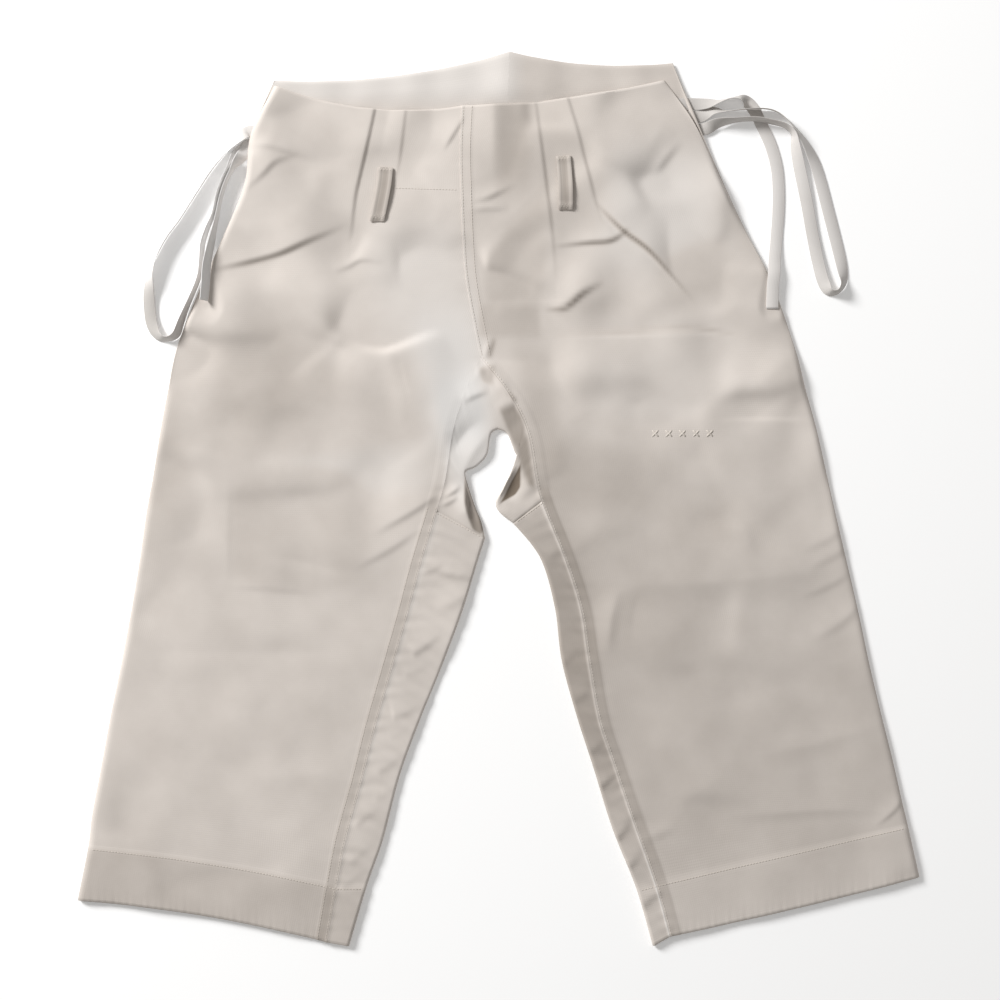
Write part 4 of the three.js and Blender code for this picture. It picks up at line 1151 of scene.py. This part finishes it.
def stitches(name, runs):
    """All stitches of the runs as one mesh: each a short lens of four sections whose ends
    dip into the cloth."""
    middle, along, size = (np.concatenate(part) for part in zip(*runs))
    side = unit(np.cross([0, 0, 1], along))
    up = np.cross(along, side)
    corners = []
    for shift, share, level in STITCH_SECTIONS:
        for s, h in STITCH_CORNERS:
            point = middle + along * (shift * STITCH_LENGTH * size)[:, None]
            point = point + side * (s * share * STITCH_WIDTH / 2 * size)[:, None]
            corners.append(point + up * (level + h * STITCH_DEPTH / 2))
    points = np.stack(corners, 1)
    faces = [[3, 2, 1, 0], [12, 13, 14, 15]]
    for k in (0, 4, 8):
        faces += [[k + i, k + (i + 1) % 4, k + 4 + (i + 1) % 4, k + 4 + i] for i in range(4)]
    first = np.arange(len(points))[:, None, None] * len(corners)
    faces = (np.array(faces) + first).reshape(-1, 4).tolist()
    new_piece(name, points.reshape(-1, 3), faces, thread)


def front_line(leg, rows, from_seam):
    """A line on a front's upper side at a distance from its inner line."""
    width = length_of(leg_line(leg, "inner", rows) - leg_line(leg, "outer", rows))
    points = front_place(leg, rows, 1 - from_seam / width)
    points[:, 2] += WALL / 2
    return points


def front_cross_line(leg, row, start, end, count=260):
    """A line across a front's upper side on one row, between two shares of its width."""
    points = front_place(leg, np.full(count, float(row)), np.linspace(start, end, count))
    points[:, 2] += WALL / 2
    return points


def strip_cross_line(leg, row, count):
    """A line across the turned strip's upper side on one row, from the seam to near the fold."""
    points = folded_place(leg, "fold", np.full(count, row), np.linspace(3, 2.05, count))
    points[:, 2] += WALL / 2
    return points


FIRST_ROW = 1.9  # from a seam to its first row of stitches
CENTRE_ROW = 1.7  # the same at the centre front
SECOND_ROW = FELL_WIDTH - 1.2
HEM_ROW = HEM_TOP + 0.035
GUSSET_ROW = CORNER + 0.045
CASING_FRONT_ROW = 1.97

seam_runs, edge_runs = [], []
for leg in (RIGHT, LEFT):
    inseam = np.linspace(CROTCH if leg is LEFT else CORNER - 0.1, LAST, 500)
    seam_runs.append(stitch_run(front_line(leg, inseam, FIRST_ROW)))
    if leg is RIGHT:  # on the left leg the second row lies hidden in the shaded band
        seam_runs.append(stitch_run(front_line(leg, inseam, SECOND_ROW)))
    edge_runs.append(stitch_run(front_cross_line(leg, HEM_ROW, 0.02, 0.995)))
    edge_runs.append(stitch_run(strip_cross_line(leg, HEM_ROW, 60)))
    edge_runs.append(stitch_run(strip_cross_line(leg, GUSSET_ROW, 80)))
for loop in BELT_LOOPS.values():
    for place in LOOP_TACKS:
        share = np.linspace(-0.44, 0.44, TACK_POINTS)
        turns = place + TACK_DEPTH * np.where(np.arange(TACK_POINTS) % 2, 1, -1)
        points = loop_place(loop, turns, share)
        points[:, 2] += LOOP_THICKNESS / 2
        edge_runs.append(stitch_run(points, TACK_PITCH, TACK_SIZE))
edge_runs.append(stitch_run(front_cross_line(RIGHT, CASING_FRONT_ROW, 0.665, 0.985)))
centre = np.linspace(0.03, CROTCH - 0.05, 240)
for from_seam in (CENTRE_ROW, SECOND_ROW):
    seam_runs.append(stitch_run(front_line(LEFT, centre, from_seam)))
stitches("seam_stitches", seam_runs)
stitches("hem_stitches", edge_runs)

# ---- Row of small crosses on the left thigh ----
CROSS_COUNT, CROSS_GAP, CROSS_ARM = 5, 14, 9
CROSS_MIDDLE = (190, 67)
CROSS_SIZE = 3.4  # each arm is one stitch, this many times a seam's
CROSS_LIFT = 0.1

arms = []
for k in range(CROSS_COUNT):
    mx = CROSS_MIDDLE[0] + (k - (CROSS_COUNT - 1) / 2) * CROSS_GAP
    for turn in (45, -45):
        dx, dy = math.cos(math.radians(turn)), math.sin(math.radians(turn))
        share = np.linspace(-0.5, 0.5, 12)
        x = mx + dx * CROSS_ARM * share
        y = CROSS_MIDDLE[1] + dy * CROSS_ARM * share
        z = upper_face(x, y) + CROSS_LIFT
        arms.append(stitch_run(np.stack([x, y, z], -1), CROSS_ARM, CROSS_SIZE))
stitches("thigh_crosses", arms)

# ---- Floor and light ----
FLOOR_HALF = 3.0  # metres, as all sizes in this section
FLOOR_LEVEL = -0.0003  # just below the cloth, so that no two faces lie in one plane
LIGHT_PLACE = (-3.09, 2.38, 2.25)
LIGHT_SIZE = 1.5
LIGHT_WATTS = 228
ROOM_COLOUR = (1, 0.985, 0.965, 1)
ROOM_STRENGTH = 0.33

floor_mesh = bpy.data.meshes.new("floor")
floor_corners = [
    (i * FLOOR_HALF, j * FLOOR_HALF, FLOOR_LEVEL) for i, j in ((-1, -1), (1, -1), (1, 1), (-1, 1))
]
floor_mesh.from_pydata(floor_corners, [], [(0, 1, 2, 3)])
# Painted studio floor: white and without gloss, with a little glow so that it stays white.
floor_mesh.materials.append(plain("pale_studio_floor", "FFFFFF", 0.9, 0.15))
floor = bpy.data.objects.new("floor", floor_mesh)
bpy.context.scene.collection.objects.link(floor)

window = bpy.data.lights.new("window_light", "AREA")
window.shape = "DISK"
window.size = LIGHT_SIZE
window.energy = LIGHT_WATTS
window_light = bpy.data.objects.new("window_light", window)
window_light.location = LIGHT_PLACE
to_trousers = -window_light.location
window_light.rotation_euler = to_trousers.to_track_quat("-Z", "Y").to_euler()
bpy.context.scene.collection.objects.link(window_light)

world = bpy.data.worlds.new("room")
world.use_nodes = True
background = world.node_tree.nodes["Background"]
background.inputs["Color"].default_value = ROOM_COLOUR
background.inputs["Strength"].default_value = ROOM_STRENGTH
bpy.context.scene.world = world
bpy.context.scene.view_settings.view_transform = "Standard"
